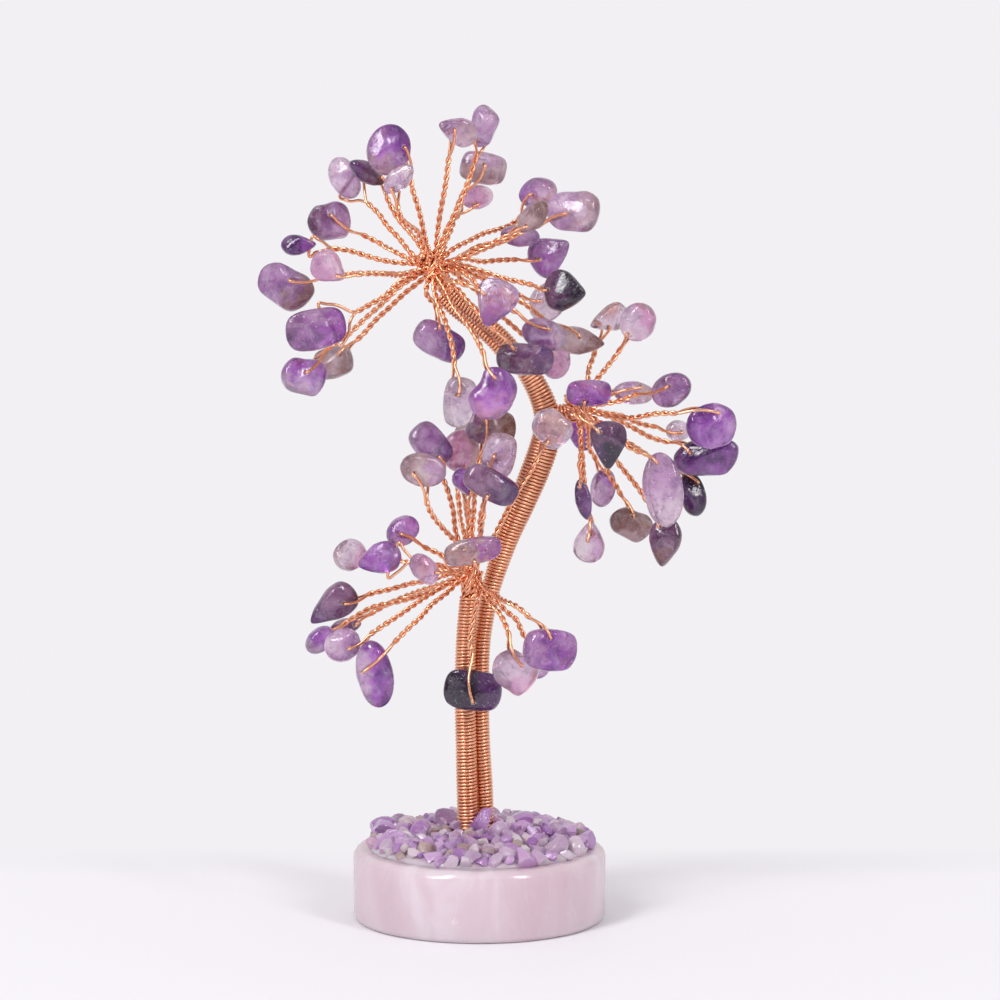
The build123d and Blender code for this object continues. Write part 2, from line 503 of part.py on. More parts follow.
def biarc(start, start_way, end, end_way):
    """Two arcs that join two points and leave and meet them in the given directions."""
    chord = end - start
    bow = chord @ (start_way + end_way)
    spread = 2 * (1 - start_way @ end_way)
    reach = (math.sqrt(bow**2 + spread * (chord @ chord)) - bow) / spread
    knee = (start + start_way * reach + end - end_way * reach) / 2
    first = TangentArc(tuple(start), tuple(knee), tangent=tuple(start_way))
    second = TangentArc(tuple(knee), tuple(end), tangent=tuple(unit(end - end_way * reach - knee)))
    return [first, second]


def wrap(chain, turns, start_height, end_gap):
    """One wire wound round a stem, from this height to this far short of the stem's end."""
    lengths = np.concatenate(([0], np.cumsum(np.linalg.norm(np.diff(chain[:, :3], axis=0), axis=1))))
    first = np.interp(start_height, chain[:, 2], lengths) if start_height > 0 else WIRE_DIAMETER
    last = lengths[-1] - end_gap
    halves = 2 * turns
    points = []
    ways = []
    for half in range(halves + 1):
        length = first + (last - first) * half / halves
        angle = math.pi * half
        nudge = 1 / PICTURE_PX
        rise = (last - first) / halves * nudge
        ahead = helix_point(chain, lengths, length + rise, angle + math.pi * nudge)
        behind = helix_point(chain, lengths, length - rise, angle - math.pi * nudge)
        points.append(helix_point(chain, lengths, length, angle))
        ways.append(unit(ahead - behind))
    edges = [Line(tuple(points[0] - ways[0] * WIRE_DIAMETER), tuple(points[0]))]
    for start, start_way, end, end_way in zip(points, ways, points[1:], ways[1:]):
        edges += biarc(start, start_way, end, end_way)
    edges.append(Line(tuple(points[-1]), tuple(points[-1] + ways[-1] * WIRE_DIAMETER)))
    path = Wire(edges)
    print("wrap: least gap to itself", round(least_gap(path, halves), 2), "mm")
    return sweep(Plane(origin=path @ 0, z_dir=path % 0) * Circle(WIRE_DIAMETER / 2), path=path)


def least_gap(path, halves):
    """The least distance between the surfaces of turns that lie side by side."""
    samples = halves * GAP_SAMPLES
    places = np.array([tuple(path @ (sample / samples)) for sample in range(samples + 1)])
    gap = math.inf
    for index, place in enumerate(places[:-GAP_SAMPLES]):
        gap = min(gap, np.linalg.norm(places[index + GAP_SAMPLES:] - place, axis=1).min())
    return gap - WIRE_DIAMETER


def bent_tube(points, diameter, corner_limits):
    """A tube along straight runs joined by tangent arcs, none larger than its corner's limit."""
    kept = [points[0]]
    radii = []
    for here, there, limit in zip(points[1:], points[2:], corner_limits):
        run_in = here - kept[-1]
        run_out = there - here
        turn = math.acos(max(-1, min(1, unit(run_in) @ unit(run_out))))
        if turn < LEAST_TURN:
            continue
        shorter = min(np.linalg.norm(run_in), np.linalg.norm(run_out))
        radii.append(min(limit, ARC_SHARE * shorter / math.tan(turn / 2)))
        kept.append(here)
    kept.append(points[-1])
    route = [tuple(point) for point in kept]
    path = FilletPolyline(*route, radius=radii) if radii else Line(*route)
    start = tuple(unit(kept[1] - kept[0]))
    return sweep(Plane(origin=route[0], z_dir=start) * Circle(diameter / 2), path=path)


def twig(loop, route):
    """One twig: its twisted pair as a tube, and the loop of wire that it opens into."""
    body = bent_tube(list(route), TWIG_DIAMETER, (math.inf, math.inf))
    tie = loop.throat + loop.inward * WIRE_DIAMETER
    for leg, corner in zip(loop.legs, loop.corners):
        body += bent_tube([tie, leg, corner, loop.hole], WIRE_DIAMETER, (LOOP_SHOULDER, LOOP_CORNER))
    return body


def stone_solid(stone):
    """A tumbled stone: smooth outlines stacked through its thickness, with its hole."""
    faces = []
    for height_share, scale_share in SECTION_SHARES:
        origin = stone.middle + stone.through * height_share * stone.half_sizes[2]
        plane = Plane(origin=tuple(origin), x_dir=tuple(stone.along), z_dir=tuple(stone.through))
        ring = [(x * scale_share * stone.half_sizes[0], y * scale_share * stone.half_sizes[1])
                for x, y in stone.outline]
        faces.append(plane * make_face(Spline(*ring, periodic=True)))
    body = loft(faces)
    drill = Plane(origin=tuple(stone.hole), z_dir=tuple(stone.axis))
    length = 4 * max(stone.half_sizes)
    return body - drill * Cylinder(WIRE_DIAMETER / 2 + HOLE_CLEARANCE, length)


def knot_ball(spray):
    """The gathered wires that a spray grows from, wound into a ball."""
    return Pos(*spray.knot) * Sphere(spray.knot_radius)


def write(node, solids):
    """Writes one node, whose solids stay separate."""
    shape = solids[0] if len(solids) == 1 else Compound(children=list(solids))
    export_step(shape, f"parts/{node}.step")


def write_spray(name, spray):
    """Writes a spray's knot, its twigs, the stones that swivel and those that are held fast."""
    write(f"{name}_knot", [knot_ball(spray)])
    write(f"{name}_twigs", [twig(loop, route) for loop, route in zip(spray.loops, spray.routes)])
    held = []
    for stone in spray.stones:
        if stone.swivels:
            write(stone.name, [stone_solid(stone)])
        else:
            held.append(stone_solid(stone))
    write(f"{name}_held_stones", held)


os.makedirs("parts", exist_ok=True)
write("base_disc", [base_disc()])
write("resin_bed", [resin_bed()])
for gravel_name, crumbs in gravel().items():
    write(gravel_name, crumbs)
bed_top = BASE_HEIGHT + BED_CROWN_HEIGHT + WIRE_DIAMETER
split = np.argmin(np.linalg.norm(MAIN_STEM[:, :3] - picture_point(WRAP_SPLIT_PX, 0), axis=1))
fork = np.argmin(np.linalg.norm(MAIN_STEM[:, :3] - picture_point(SIDE_STEM_START_PX, 0), axis=1))
write("main_stem_core", [stem_core(MAIN_STEM, core_radius)])
write("main_stem_lower_wrap", [wrap(MAIN_STEM[:split + 1], WRAP_TURNS, bed_top, WIRE_DIAMETER)])
write("main_stem_upper_wrap", [wrap(MAIN_STEM[split:fork + 1], WRAP_TURNS, 0, WIRE_DIAMETER)])
write("crown_stem_wrap", [wrap(MAIN_STEM[fork:], CROWN_WRAP_TURNS, 0, WIRE_DIAMETER)])
write("left_stem_core", [stem_core(LEFT_STEM, core_radius)])
write("left_stem_wrap", [wrap(LEFT_STEM, WRAP_TURNS, bed_top, LEFT_FAN_LENGTH)])
write("side_stem", [stem_core(SIDE_STEM, float)])
write_spray("crown", CROWN)
write_spray("left", LEFT_SPRAY)
write_spray("right", RIGHT_SPRAY)
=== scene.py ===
import math
import random
from collections import namedtuple

import bmesh
import bpy
import numpy as np
from mathutils import Matrix, Vector, noise


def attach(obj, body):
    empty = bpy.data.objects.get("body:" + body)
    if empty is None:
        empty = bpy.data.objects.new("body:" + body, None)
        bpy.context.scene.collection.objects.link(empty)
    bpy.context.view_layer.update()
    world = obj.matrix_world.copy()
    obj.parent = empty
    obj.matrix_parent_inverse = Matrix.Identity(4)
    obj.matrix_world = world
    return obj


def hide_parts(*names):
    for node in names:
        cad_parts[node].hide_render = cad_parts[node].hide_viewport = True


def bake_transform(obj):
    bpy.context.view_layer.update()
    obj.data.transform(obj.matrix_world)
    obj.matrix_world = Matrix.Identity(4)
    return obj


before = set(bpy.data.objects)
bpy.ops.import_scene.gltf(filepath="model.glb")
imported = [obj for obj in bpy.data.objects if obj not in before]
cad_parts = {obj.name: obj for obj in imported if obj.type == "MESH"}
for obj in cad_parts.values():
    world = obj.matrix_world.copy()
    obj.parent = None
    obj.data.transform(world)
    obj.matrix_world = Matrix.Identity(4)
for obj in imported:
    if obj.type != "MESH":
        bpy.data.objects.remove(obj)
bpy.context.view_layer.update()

# A gemstone tree ornament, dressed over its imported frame: tumbled amethyst chips on twisted copper
# twigs, wound stems and a bed of crumbs on a rose quartz disc. Sizes and places are in millimetres
# and turn into metres where a mesh is made. +Z is up, +X to the right of the picture, +Y away from
# the viewer, and the origin is at the middle of the disc's underside.
MM = 0.001

# The disc and what lies on it
BASE_DIAMETER = 40.0
BASE_HEIGHT = 11.3
BASE_TOP_ROUND = 1.5
BASE_FOOT_ROUND = 0.9
BED_DIAMETER = 35.0
BED_EDGE_HEIGHT = 0.7
BED_CROWN_HEIGHT = 4.6

# The wire, and the room that is kept between the wires that leave a knot
WIRE_DIAMETER = 0.4
TWIG_GAP = 0.12
SEAT_CLEARANCE = 0.08
BEND_GAP = 0.3

# The stones
CHIP_THICKNESS = 3.9
LAYER_GAP = 0.7
HOLE_CLEARANCE = 0.08
LOOP_CLEARANCE = 0.35
THROAT_LENGTH = 1.1
SWIVEL_DEG = 10.0

# The knot of gathered wires that each spray grows from
CROWN_KNOT_RADIUS = 2.7
LEFT_KNOT_RADIUS = 2.3
RIGHT_KNOT_RADIUS = 2.2
FAN_LENGTH = 1.6
STEM_ROOM_DEG = 48.0

# The picture that the places are read from, 1000 pixels square. Its span is the real width that
# it covers at the trunk, and the shares are of that span
PICTURE_SPAN = 156.7
PICTURE_PX = 1000
PICTURE_MIDDLE_PX = 500
EYE_DISTANCE_SHARE = 4.148
EYE_HEIGHT_SHARE = 0.957
EYE_SIDE_SHARE = 0.0207
AIM_HEIGHT_SHARE = 0.4244
BASE_TOP_SHARE = 0.0721

# Each knot: the pixel of its middle and its depth in layers
CROWN_KNOT_PX = ((432, 268), 0.0)
LEFT_KNOT_PX = ((471, 571), -0.5)
RIGHT_KNOT_PX = ((579, 411), 0.0)

# Each stem: pixels of its centreline, its depth in layers and its width in pixels with its wrap on
MAIN_STEM_PX = (
    ((485, 832), 0.2, 17), ((484, 790), 0.22, 17), ((481, 740), 0.24, 17), ((480, 690), 0.26, 17),
    ((481, 650), 0.26, 17), ((484, 624), 0.28, 17), ((490, 592), 0.28, 18), ((499, 562), 0.25, 20),
    ((509, 533), 0.15, 23), ((521, 505), 0.05, 26), ((534, 474), 0.0, 28), ((544, 446), 0.0, 28),
    ((548, 424), 0.0, 26), ((544, 404), 0.0, 24), ((536, 386), 0.0, 22), ((524, 366), 0.0, 20),
    ((513, 350), 0.0, 16), ((501, 336), 0.0, 15), ((484, 321), 0.0, 14), ((467, 308), 0.0, 14),
    ((453, 296), 0.0, 13), ((432, 268), 0.0, 13),
)
LEFT_STEM_PX = (
    ((468, 836), -0.2, 19), ((467, 790), -0.22, 20), ((466, 740), -0.24, 20), ((465, 690), -0.26, 20),
    ((466, 640), -0.28, 19), ((468, 605), -0.38, 17), ((471, 571), -0.5, 16),
)
# The thin stem lies along the main stem's lower side: where it starts and ends, and its width
SIDE_STEM_START_PX = (513, 350)
SIDE_STEM_END_PX = (449, 291)
SIDE_STEM_WIDTH_PX = 8
# The bare fan of wires between the left stem's wrap and its knot
LEFT_FAN_LENGTH = 1.5

# How finely curves are worked out
RELAX_ROUNDS = 400
STEM_STEPS = 8
OUTLINE_STEPS = 6

# Outlines of the tumbled stones, in shares of half the length and half the width
OUTLINE_SHARES = {
    "oval": ((1, 0), (.72, .7), (0, 1), (-.72, .7), (-1, 0), (-.7, -.72), (0, -1), (.72, -.7)),
    "block": ((1, .1), (.84, .82), (0, .97), (-.82, .86), (-1, 0), (-.86, -.8), (0, -1), (.82, -.85)),
    "drop": ((1, 0), (.56, .46), (0, .9), (-.62, .88), (-1, .1), (-.7, -.82), (0, -.95), (.55, -.52)),
    "wedge": ((1, .05), (.5, .46), (-.2, .92), (-.84, .84), (-1, 0), (-.8, -.86), (-.2, -.86), (.5, -.44)),
    "bean": ((1, .15), (.72, .86), (.1, .72), (-.55, .92), (-1, .2), (-.75, -.7), (0, -1), (.76, -.74)),
    "shard": ((1, -.1), (.62, .6), (0, .97), (-.6, .76), (-1, .1), (-.56, -.62), (.05, -.95), (.62, -.7)),
    "lump": ((1, .2), (.68, .82), (.1, .88), (-.5, 1), (-1, .35), (-.82, -.55), (-.15, -.84), (.55, -.98)),
}
# How the outline shrinks from the middle of a stone to its two faces
SECTION_SHARES = ((-.97, .38), (-.76, .79), (-.4, .96), (0, 1), (.4, .95), (.76, .77), (.97, .36))
# How thick each kind of stone is, in shares of the common thickness
THICKNESS_SHARES = {"oval": 1.05, "block": 1.1, "drop": 1, "wedge": 1, "bean": 1.05, "shard": .8,
                    "lump": 1.15}

# The stones whose wire passes from side to side, and not through their faces
SIDE_WIRED = ("crown_stone_08", "crown_stone_10", "crown_stone_13", "left_stone_11")

# One row a stone, from number 1 up: pixel of its middle, layer of depth, outline, length and width
# in pixels, turn in the picture and yaw about the vertical in degrees, hole's place in shares of
# half the length and half the width, whether it swivels on its wire, and its colour. A stone that
# shows a second colour has that too, with the way it lies in the picture in degrees
CROWN_STONES_PX = (
    ((457, 131), -0.6, "drop", 42, 29, 160, 12, (.25, 0), True, "lilac", "smoke", 0),
    ((484, 126), 0.4, "lump", 42, 28, 80, -25, (-.7, .1), True, "lilac", "mid", -90),
    ((483, 168), 1.9, "block", 48, 32, -10, 20, (-.15, .2), True, "smoke", "lilac", 90),
    ((477, 197), 3.2, "oval", 34, 25, 5, 35, (-.4, -.45), False, "rose"),
    ((389, 150), -0.9, "oval", 51, 44, 75, 15, (.25, -.55), True, "violet", "smoke", -100),
    ((367, 173), 0.6, "shard", 43, 22, -28, 25, (.6, .2), True, "dusk", "deep", 180),
    ((399, 179), -2.0, "shard", 39, 23, 48, -20, (-.5, -.25), True, "pale", "lilac", -120),
    ((345, 178), 1.9, "oval", 45, 30, -58, -30, (.3, 0), True, "lilac", "pale", 110),
    ((330, 222), 0.9, "lump", 44, 40, 20, 20, (0, .4), True, "mid", "dusk", 180),
    ((299, 245), 0.1, "drop", 36, 22, 3, 0, (.65, 0), True, "deep", "violet", 0),
    ((285, 287), -0.7, "lump", 59, 42, -20, -15, (.2, .5), True, "mid", "umber", -40),
    ((329, 268), -2.3, "drop", 38, 33, -36, -10, (.6, 0), False, "rose"),
    ((316, 329), -1.4, "block", 59, 40, 12, 10, (.45, 0), True, "mid", "violet", 0),
    ((304, 377), -0.5, "lump", 46, 39, 0, 20, (-.1, .3), True, "violet", "pale", -110),
    ((334, 362), 0.9, "block", 40, 32, 20, -20, (.6, .3), False, "smoke", "umber", -30),
    ((538, 193), 2.2, "oval", 42, 31, 10, -30, (0, -.05), True, "lilac", "violet", -140),
    ((533, 217), -1.1, "shard", 40, 26, 50, 15, (-.6, .1), False, "smoke", "umber", 0),
    ((520, 236), 1.8, "oval", 40, 22, -5, 10, (-.45, -.1), False, "mid"),
    ((574, 212), 0.5, "lump", 54, 43, 10, -15, (-.15, 0), True, "lilac", "smoke", -10),
    ((551, 254), 2.9, "wedge", 46, 44, 30, 20, (-.7, .2), True, "mid", "violet", -100),
    ((565, 291), -0.7, "drop", 45, 43, -5, -25, (-.65, 0), True, "ink", "dusk", 180),
    ((494, 304), -2.9, "wedge", 49, 44, -113, 10, (-.2, -.65), False, "lilac", "violet", -90),
    ((547, 303), 2.6, "oval", 42, 37, 60, 25, (-.15, .65), False, "pale"),
    ((545, 335), -0.85, "oval", 48, 32, -20, 10, (0, .45), False, "mid", "pale", 0),
    ((581, 341), 0.55, "drop", 51, 29, -8, 15, (-.2, .3), True, "smoke", "umber", -20),
    ((525, 359), -2.0, "block", 56, 31, -3, 0, (-.4, .65), False, "dusk", "deep", 0),
    ((556, 361), 1.9, "oval", 37, 30, 80, 20, (.3, .55), False, "rose"),
    ((439, 341), -0.3, "block", 53, 33, -28, 10, (-.3, .65), False, "mid", "deep", -10),
    ((460, 402), -2.2, "block", 49, 33, 85, 20, (.3, .45), False, "pale"),
    ((493, 394), -3.4, "bean", 52, 44, 60, 10, (.55, .35), False, "violet", "rose", -80),
)
LEFT_STONES_PX = (
    ((491, 427), 0.0, "block", 51, 36, -8, 10, (-.35, .45), False, "umber", "dusk", 180),
    ((470, 434), 2.4, "lump", 33, 27, 30, 20, (-.3, -.55), False, "smoke"),
    ((431, 445), -1.0, "block", 48, 33, -50, 15, (.45, -.2), True, "mid", "deep", -60),
    ((423, 470), -2.1, "oval", 46, 34, -10, -15, (-.3, -.2), True, "smoke", "lilac", 0),
    ((461, 451), 1.2, "oval", 43, 40, 70, 25, (-.7, -.2), False, "rose", "smoke", 0),
    ((499, 455), -1.2, "block", 44, 33, 80, -10, (.05, .1), False, "lilac", "pale", 130),
    ((491, 485), -2.4, "block", 56, 30, -28, 5, (0, -.65), False, "dusk", "deep", -20),
    ((464, 482), -1.0, "drop", 31, 22, -70, 20, (.6, 0), False, "violet"),
    ((473, 551), -2.7, "block", 56, 26, 12, 0, (0, -.6), False, "smoke", "violet", 10),
    ((403, 531), -0.5, "oval", 35, 29, 35, 20, (-.35, .2), True, "violet", "lilac", -90),
    ((379, 559), -1.3, "drop", 49, 33, 200, -15, (-.7, 0), True, "violet"),
    ((350, 555), 1.6, "oval", 35, 33, 0, 30, (.65, -.1), True, "pale", "rose", -30),
    ((424, 569), -2.6, "oval", 35, 24, -50, 15, (.45, .45), False, "lilac", "rose", 100),
    ((331, 606), -0.6, "wedge", 56, 37, 215, 15, (-.4, .2), True, "dusk", "deep", 200),
    ((343, 645), -1.6, "oval", 39, 33, 20, -20, (.45, -.3), True, "lilac"),
    ((320, 640), 0.4, "oval", 34, 23, 40, 20, (.65, -.1), False, "violet", "pale", 200),
    ((345, 627), 1.4, "shard", 35, 18, 15, 10, (.55, 0), False, "dusk"),
    ((375, 674), -2.4, "oval", 67, 37, -80, -10, (-.15, -.5), True, "violet", "pale", 190),
    ((473, 690), -1.4, "block", 57, 41, -6, 0, (.05, -.5), True, "ink", "deep", 10),
    ((515, 672), -2.6, "lump", 46, 43, -20, 15, (.05, .4), False, "pale", "rose", -80),
    ((539, 660), -1.0, "oval", 38, 27, 80, 10, (.5, .45), False, "lilac"),
    ((550, 650), -3.8, "block", 53, 41, -5, 15, (-.15, .65), True, "violet", "lilac", 180),
    ((552, 429), -1.9, "lump", 41, 37, -30, 10, (0, -.6), False, "pale"),
)
RIGHT_STONES_PX = (
    ((608, 319), 1.8, "wedge", 42, 30, 200, 15, (.2, .4), False, "pale", "rust", 120),
    ((638, 322), 0.4, "oval", 40, 36, 60, -15, (-.7, .1), True, "pale", "rose", 20),
    ((589, 393), -1.4, "block", 44, 26, 0, 10, (-.3, -.55), False, "violet"),
    ((678, 431), 2.0, "oval", 24, 22, 0, 20, (0, 0), False, "pale"),
    ((581, 431), 1.7, "oval", 42, 27, -70, 10, (-.65, 0), False, "violet"),
    ((608, 446), -2.3, "wedge", 49, 39, -90, 0, (-.6, -.45), True, "ink", "dusk", 100),
    ((634, 393), 1.3, "oval", 42, 24, -5, 15, (.2, .55), False, "lilac", "smoke", 20),
    ((671, 390), -0.4, "oval", 42, 33, 28, -10, (.05, .3), True, "mid"),
    ((712, 426), -0.7, "oval", 53, 46, 0, 15, (.15, .6), True, "violet"),
    ((707, 458), 0.6, "lump", 66, 39, 12, -10, (-.4, .45), True, "deep", "violet", -40),
    ((663, 490), -1.4, "oval", 75, 40, -82, 10, (-.75, -.2), True, "lilac", "pale", -60),
    ((692, 494), 1.7, "oval", 46, 28, -75, 25, (-.5, .35), False, "ink"),
    ((665, 543), 0.0, "drop", 51, 34, -97, -20, (-.65, -.3), True, "dusk", "umber", -90),
    ((631, 525), 0.8, "lump", 44, 32, -15, 10, (-.1, .6), True, "umber", "smoke", -90),
    ((603, 488), 1.45, "oval", 40, 25, -100, 20, (-.7, -.15), True, "lilac", "violet", 90),
    ((583, 500), -0.4, "shard", 42, 18, -75, 0, (-.65, 0), False, "deep"),
    ((589, 542), 0.6, "drop", 44, 33, 85, -10, (.1, 0), True, "pale", "lilac", 0),
)

# What follows from the sizes
TWIG_DIAMETER = 2 * WIRE_DIAMETER
LAYER_STEP = CHIP_THICKNESS + LAYER_GAP
PIXEL = PICTURE_SPAN / PICTURE_PX
EYE = np.array((EYE_SIDE_SHARE, -EYE_DISTANCE_SHARE, EYE_HEIGHT_SHARE)) * PICTURE_SPAN
AIM = np.array((EYE_SIDE_SHARE, 0, AIM_HEIGHT_SHARE)) * PICTURE_SPAN
VIEW_LENGTH = np.linalg.norm(AIM - EYE)
FORWARD = (AIM - EYE) / VIEW_LENGTH
RIGHTWARD = np.array((1, 0, 0))
UPWARD = np.cross(RIGHTWARD, FORWARD)

Stone = namedtuple("Stone", "name middle axes outline half_sizes hole axis swivels colour second")
Loop = namedtuple("Loop", "throat inward")


def unit(vector):
    return vector / np.linalg.norm(vector)


def travelled(line):
    """How far along a line each of its points lies."""
    return np.concatenate(([0], np.cumsum(np.linalg.norm(np.diff(line, axis=0), axis=1))))


def nearest(chain, point):
    """The place on a stem that lies nearest to a point."""
    return np.argmin(np.linalg.norm(chain[:, :3] - point, axis=1))


def stray(chance, reach):
    """A random step, up to a reach each way."""
    return np.array([chance.uniform(-reach, reach) for _ in range(3)])


def picture_point(pixel, layer):
    """The point that the picture shows at a pixel, a number of layers behind the trunk."""
    aside = (pixel[0] - PICTURE_MIDDLE_PX) * PIXEL
    above = (PICTURE_MIDDLE_PX - pixel[1]) * PIXEL
    ray = FORWARD * VIEW_LENGTH + RIGHTWARD * aside + UPWARD * above
    point = EYE + ray * (layer * LAYER_STEP - EYE[1]) / ray[1]
    point[2] += BASE_HEIGHT - BASE_TOP_SHARE * PICTURE_SPAN
    return point


def smooth_chain(rows, steps):
    """A smooth chain of rows that passes through the given ones, each a place and a radius."""
    rows = np.array(rows)
    ends = np.vstack((2 * rows[0] - rows[1], rows, 2 * rows[-1] - rows[-2]))
    chain = []
    for before, here, there, after in zip(ends, ends[1:], ends[2:], ends[3:]):
        for step in range(steps):
            t = step / steps
            slope = (there - before) * t
            bend = (2 * before - 5 * here + 4 * there - after) * t**2
            twist = (3 * here - before - 3 * there + after) * t**3
            chain.append((2 * here + slope + bend + twist) / 2)
    chain.append(rows[-1])
    return np.array(chain)


def stem_chain(stem_px, knot, knot_radius):
    """A stem's centreline and radii from the disc up to just below its knot."""
    rows = [(*picture_point(pixel, layer), width * PIXEL / 2) for pixel, layer, width in stem_px]
    foot = (rows[0][0], rows[0][1], BASE_HEIGHT, rows[0][3])
    chain = smooth_chain([foot] + rows, STEM_STEPS)
    reach = knot_radius + BEND_GAP
    clear = np.linalg.norm(chain[:, :3] - knot, axis=1) > reach
    chain = chain[:np.flatnonzero(clear)[-1] + 1]
    last = chain[-1].copy()
    last[:3] = knot + unit(last[:3] - knot) * reach
    return np.vstack((chain[:-1], last))


def side_stem_chain(main_chain):
    """The thin stem's centreline and radii, laid against the lower side of the main stem."""
    start = picture_point(SIDE_STEM_START_PX, 0)
    end = picture_point(SIDE_STEM_END_PX, 0)
    first = nearest(main_chain, start)
    last = nearest(main_chain, end)
    radius = SIDE_STEM_WIDTH_PX * PIXEL / 2
    rows = []
    for index in range(first, last + 1):
        way = unit(main_chain[index + 1, :3] - main_chain[index - 1, :3])
        beside = unit(np.cross(way, (0, 1, 0)))
        if beside[2] > 0:
            beside = -beside
        offset = main_chain[index, 3] + SEAT_CLEARANCE + radius
        rows.append((*(main_chain[index, :3] + beside * offset), radius))
    return np.array(rows)


def place_stone(name, row):
    """One row of a table, as a stone's place, directions and half sizes."""
    pixel, layer, outline, length, width, turn, yaw, hole_shares, swivels, colour, *second = row
    turn_angle = math.radians(turn)
    yaw_angle = math.radians(yaw)
    level = np.array((math.cos(yaw_angle), math.sin(yaw_angle), 0))
    upright = np.array((0, 0, 1))
    along = level * math.cos(turn_angle) + upright * math.sin(turn_angle)
    across = upright * math.cos(turn_angle) - level * math.sin(turn_angle)
    through = np.cross(along, across)
    half_sizes = (length * PIXEL / 2, width * PIXEL / 2, CHIP_THICKNESS * THICKNESS_SHARES[outline] / 2)
    middle = picture_point(pixel, layer)
    hole = middle + along * hole_shares[0] * half_sizes[0] + across * hole_shares[1] * half_sizes[1]
    return Stone(name, middle, np.stack((along, across, through)), OUTLINE_SHARES[outline], half_sizes,
                 hole, through, swivels, colour, second)


def skin_points(stone):
    """Points all over a stone's surface."""
    along, across, through = stone.axes
    loop = np.array(stone.outline + stone.outline[:1])
    ring = []
    for here, there in zip(loop, loop[1:]):
        for step in range(OUTLINE_STEPS):
            ring.append(here + (there - here) * step / OUTLINE_STEPS)
    points = []
    for height, scale in SECTION_SHARES:
        for place in ring:
            points.append(stone.middle + along * place[0] * scale * stone.half_sizes[0]
                          + across * place[1] * scale * stone.half_sizes[1]
                          + through * height * stone.half_sizes[2])
    return np.array(points)


def place_loop(stone, knot):
    """The stone with its wire's direction, and the loop that closes on the side of its knot."""
    through = stone.axes[2]
    toward = knot - stone.hole
    inward = unit(toward - through * (toward @ through))
    axis = np.cross(through, inward) if stone.name in SIDE_WIRED else through
    reach = max_reach(skin_points(stone) - stone.hole, inward, axis)
    return stone._replace(axis=axis), Loop(stone.hole + inward * reach + inward * THROAT_LENGTH, inward)


def max_reach(points, inward, axis):
    """How far a stone reaches towards its knot within the wire's width, wherever it swivels."""
    aside = np.cross(axis, inward)
    strip = WIRE_DIAMETER + LOOP_CLEARANCE
    reach = 0
    for swivel in np.radians((-SWIVEL_DEG, -SWIVEL_DEG / 2, 0, SWIVEL_DEG / 2, SWIVEL_DEG)):
        forward = points @ inward * math.cos(swivel) - points @ aside * math.sin(swivel)
        sideways = points @ inward * math.sin(swivel) + points @ aside * math.cos(swivel)
        reach = max(reach, forward[np.abs(sideways) < strip].max())
    return reach + LOOP_CLEARANCE + WIRE_DIAMETER / 2


def spread_ways(ways, stem_ways, room):
    """Turns the twigs' first directions apart until none is within room of another or a stem."""
    ways = np.array([unit(way) for way in ways])
    for _ in range(RELAX_ROUNDS):
        pushes = np.zeros_like(ways)
        for index, way in enumerate(ways):
            apart = way - ways
            gap = np.linalg.norm(apart, axis=1)
            near = (gap < room) & (gap > 0)
            pushes[index] += (apart[near].T * (room - gap[near]) / gap[near]).T.sum(axis=0) / 2
            for stem_way in stem_ways:
                stem_apart = way - stem_way
                stem_gap = np.linalg.norm(stem_apart)
                stem_room = 2 * math.sin(math.radians(STEM_ROOM_DEG) / 2)
                if stem_gap < stem_room:
                    pushes[index] += stem_apart * (stem_room - stem_gap) / stem_gap / 2
        ways = np.array([unit(way + push) for way, push in zip(ways, pushes)])
    return ways


def twig_routes(loops, knot, knot_radius, stem_ways):
    """The points of each twig, from its root on the knot to the throat of its loop."""
    room = (TWIG_DIAMETER + TWIG_GAP) / knot_radius
    ways = spread_ways([loop.throat - knot for loop in loops], stem_ways, room)
    routes = []
    for loop, way in zip(loops, ways):
        root = knot + way * (knot_radius + SEAT_CLEARANCE)
        distance = np.linalg.norm(loop.throat - root)
        fan = root + way * min(FAN_LENGTH, distance / 3)
        approach = loop.throat + loop.inward * min(2 * FAN_LENGTH, distance / 3)
        routes.append((root, fan, approach, loop.throat))
    return routes


class Spray:
    """A knot with its stones, their loops and the twigs between."""

    def __init__(self, name, rows, knot_px, knot_radius, stem_places):
        self.knot = picture_point(*knot_px)
        self.knot_radius = knot_radius
        self.stones, self.loops = zip(*[place_loop(place_stone(f"{name}_stone_{number:02d}", row), self.knot)
                                        for number, row in enumerate(rows, 1)])
        stem_ways = [unit(place - self.knot) for place in stem_places]
        self.routes = twig_routes(self.loops, self.knot, knot_radius, stem_ways)


CROWN_KNOT = picture_point(*CROWN_KNOT_PX)
LEFT_KNOT = picture_point(*LEFT_KNOT_PX)
RIGHT_KNOT = picture_point(*RIGHT_KNOT_PX)
MAIN_STEM = stem_chain(MAIN_STEM_PX, CROWN_KNOT, CROWN_KNOT_RADIUS)
LEFT_STEM = stem_chain(LEFT_STEM_PX, LEFT_KNOT, LEFT_KNOT_RADIUS)
SIDE_STEM = side_stem_chain(MAIN_STEM)
NEAR_RIGHT_KNOT = MAIN_STEM[nearest(MAIN_STEM, RIGHT_KNOT), :3]
NEAR_LEFT_KNOT = MAIN_STEM[nearest(MAIN_STEM, LEFT_KNOT), :3]
CROWN = Spray("crown", CROWN_STONES_PX, CROWN_KNOT_PX, CROWN_KNOT_RADIUS,
              (MAIN_STEM[-1, :3], SIDE_STEM[-1, :3]))
LEFT_SPRAY = Spray("left", LEFT_STONES_PX, LEFT_KNOT_PX, LEFT_KNOT_RADIUS,
                   (LEFT_STEM[-1, :3], NEAR_LEFT_KNOT))
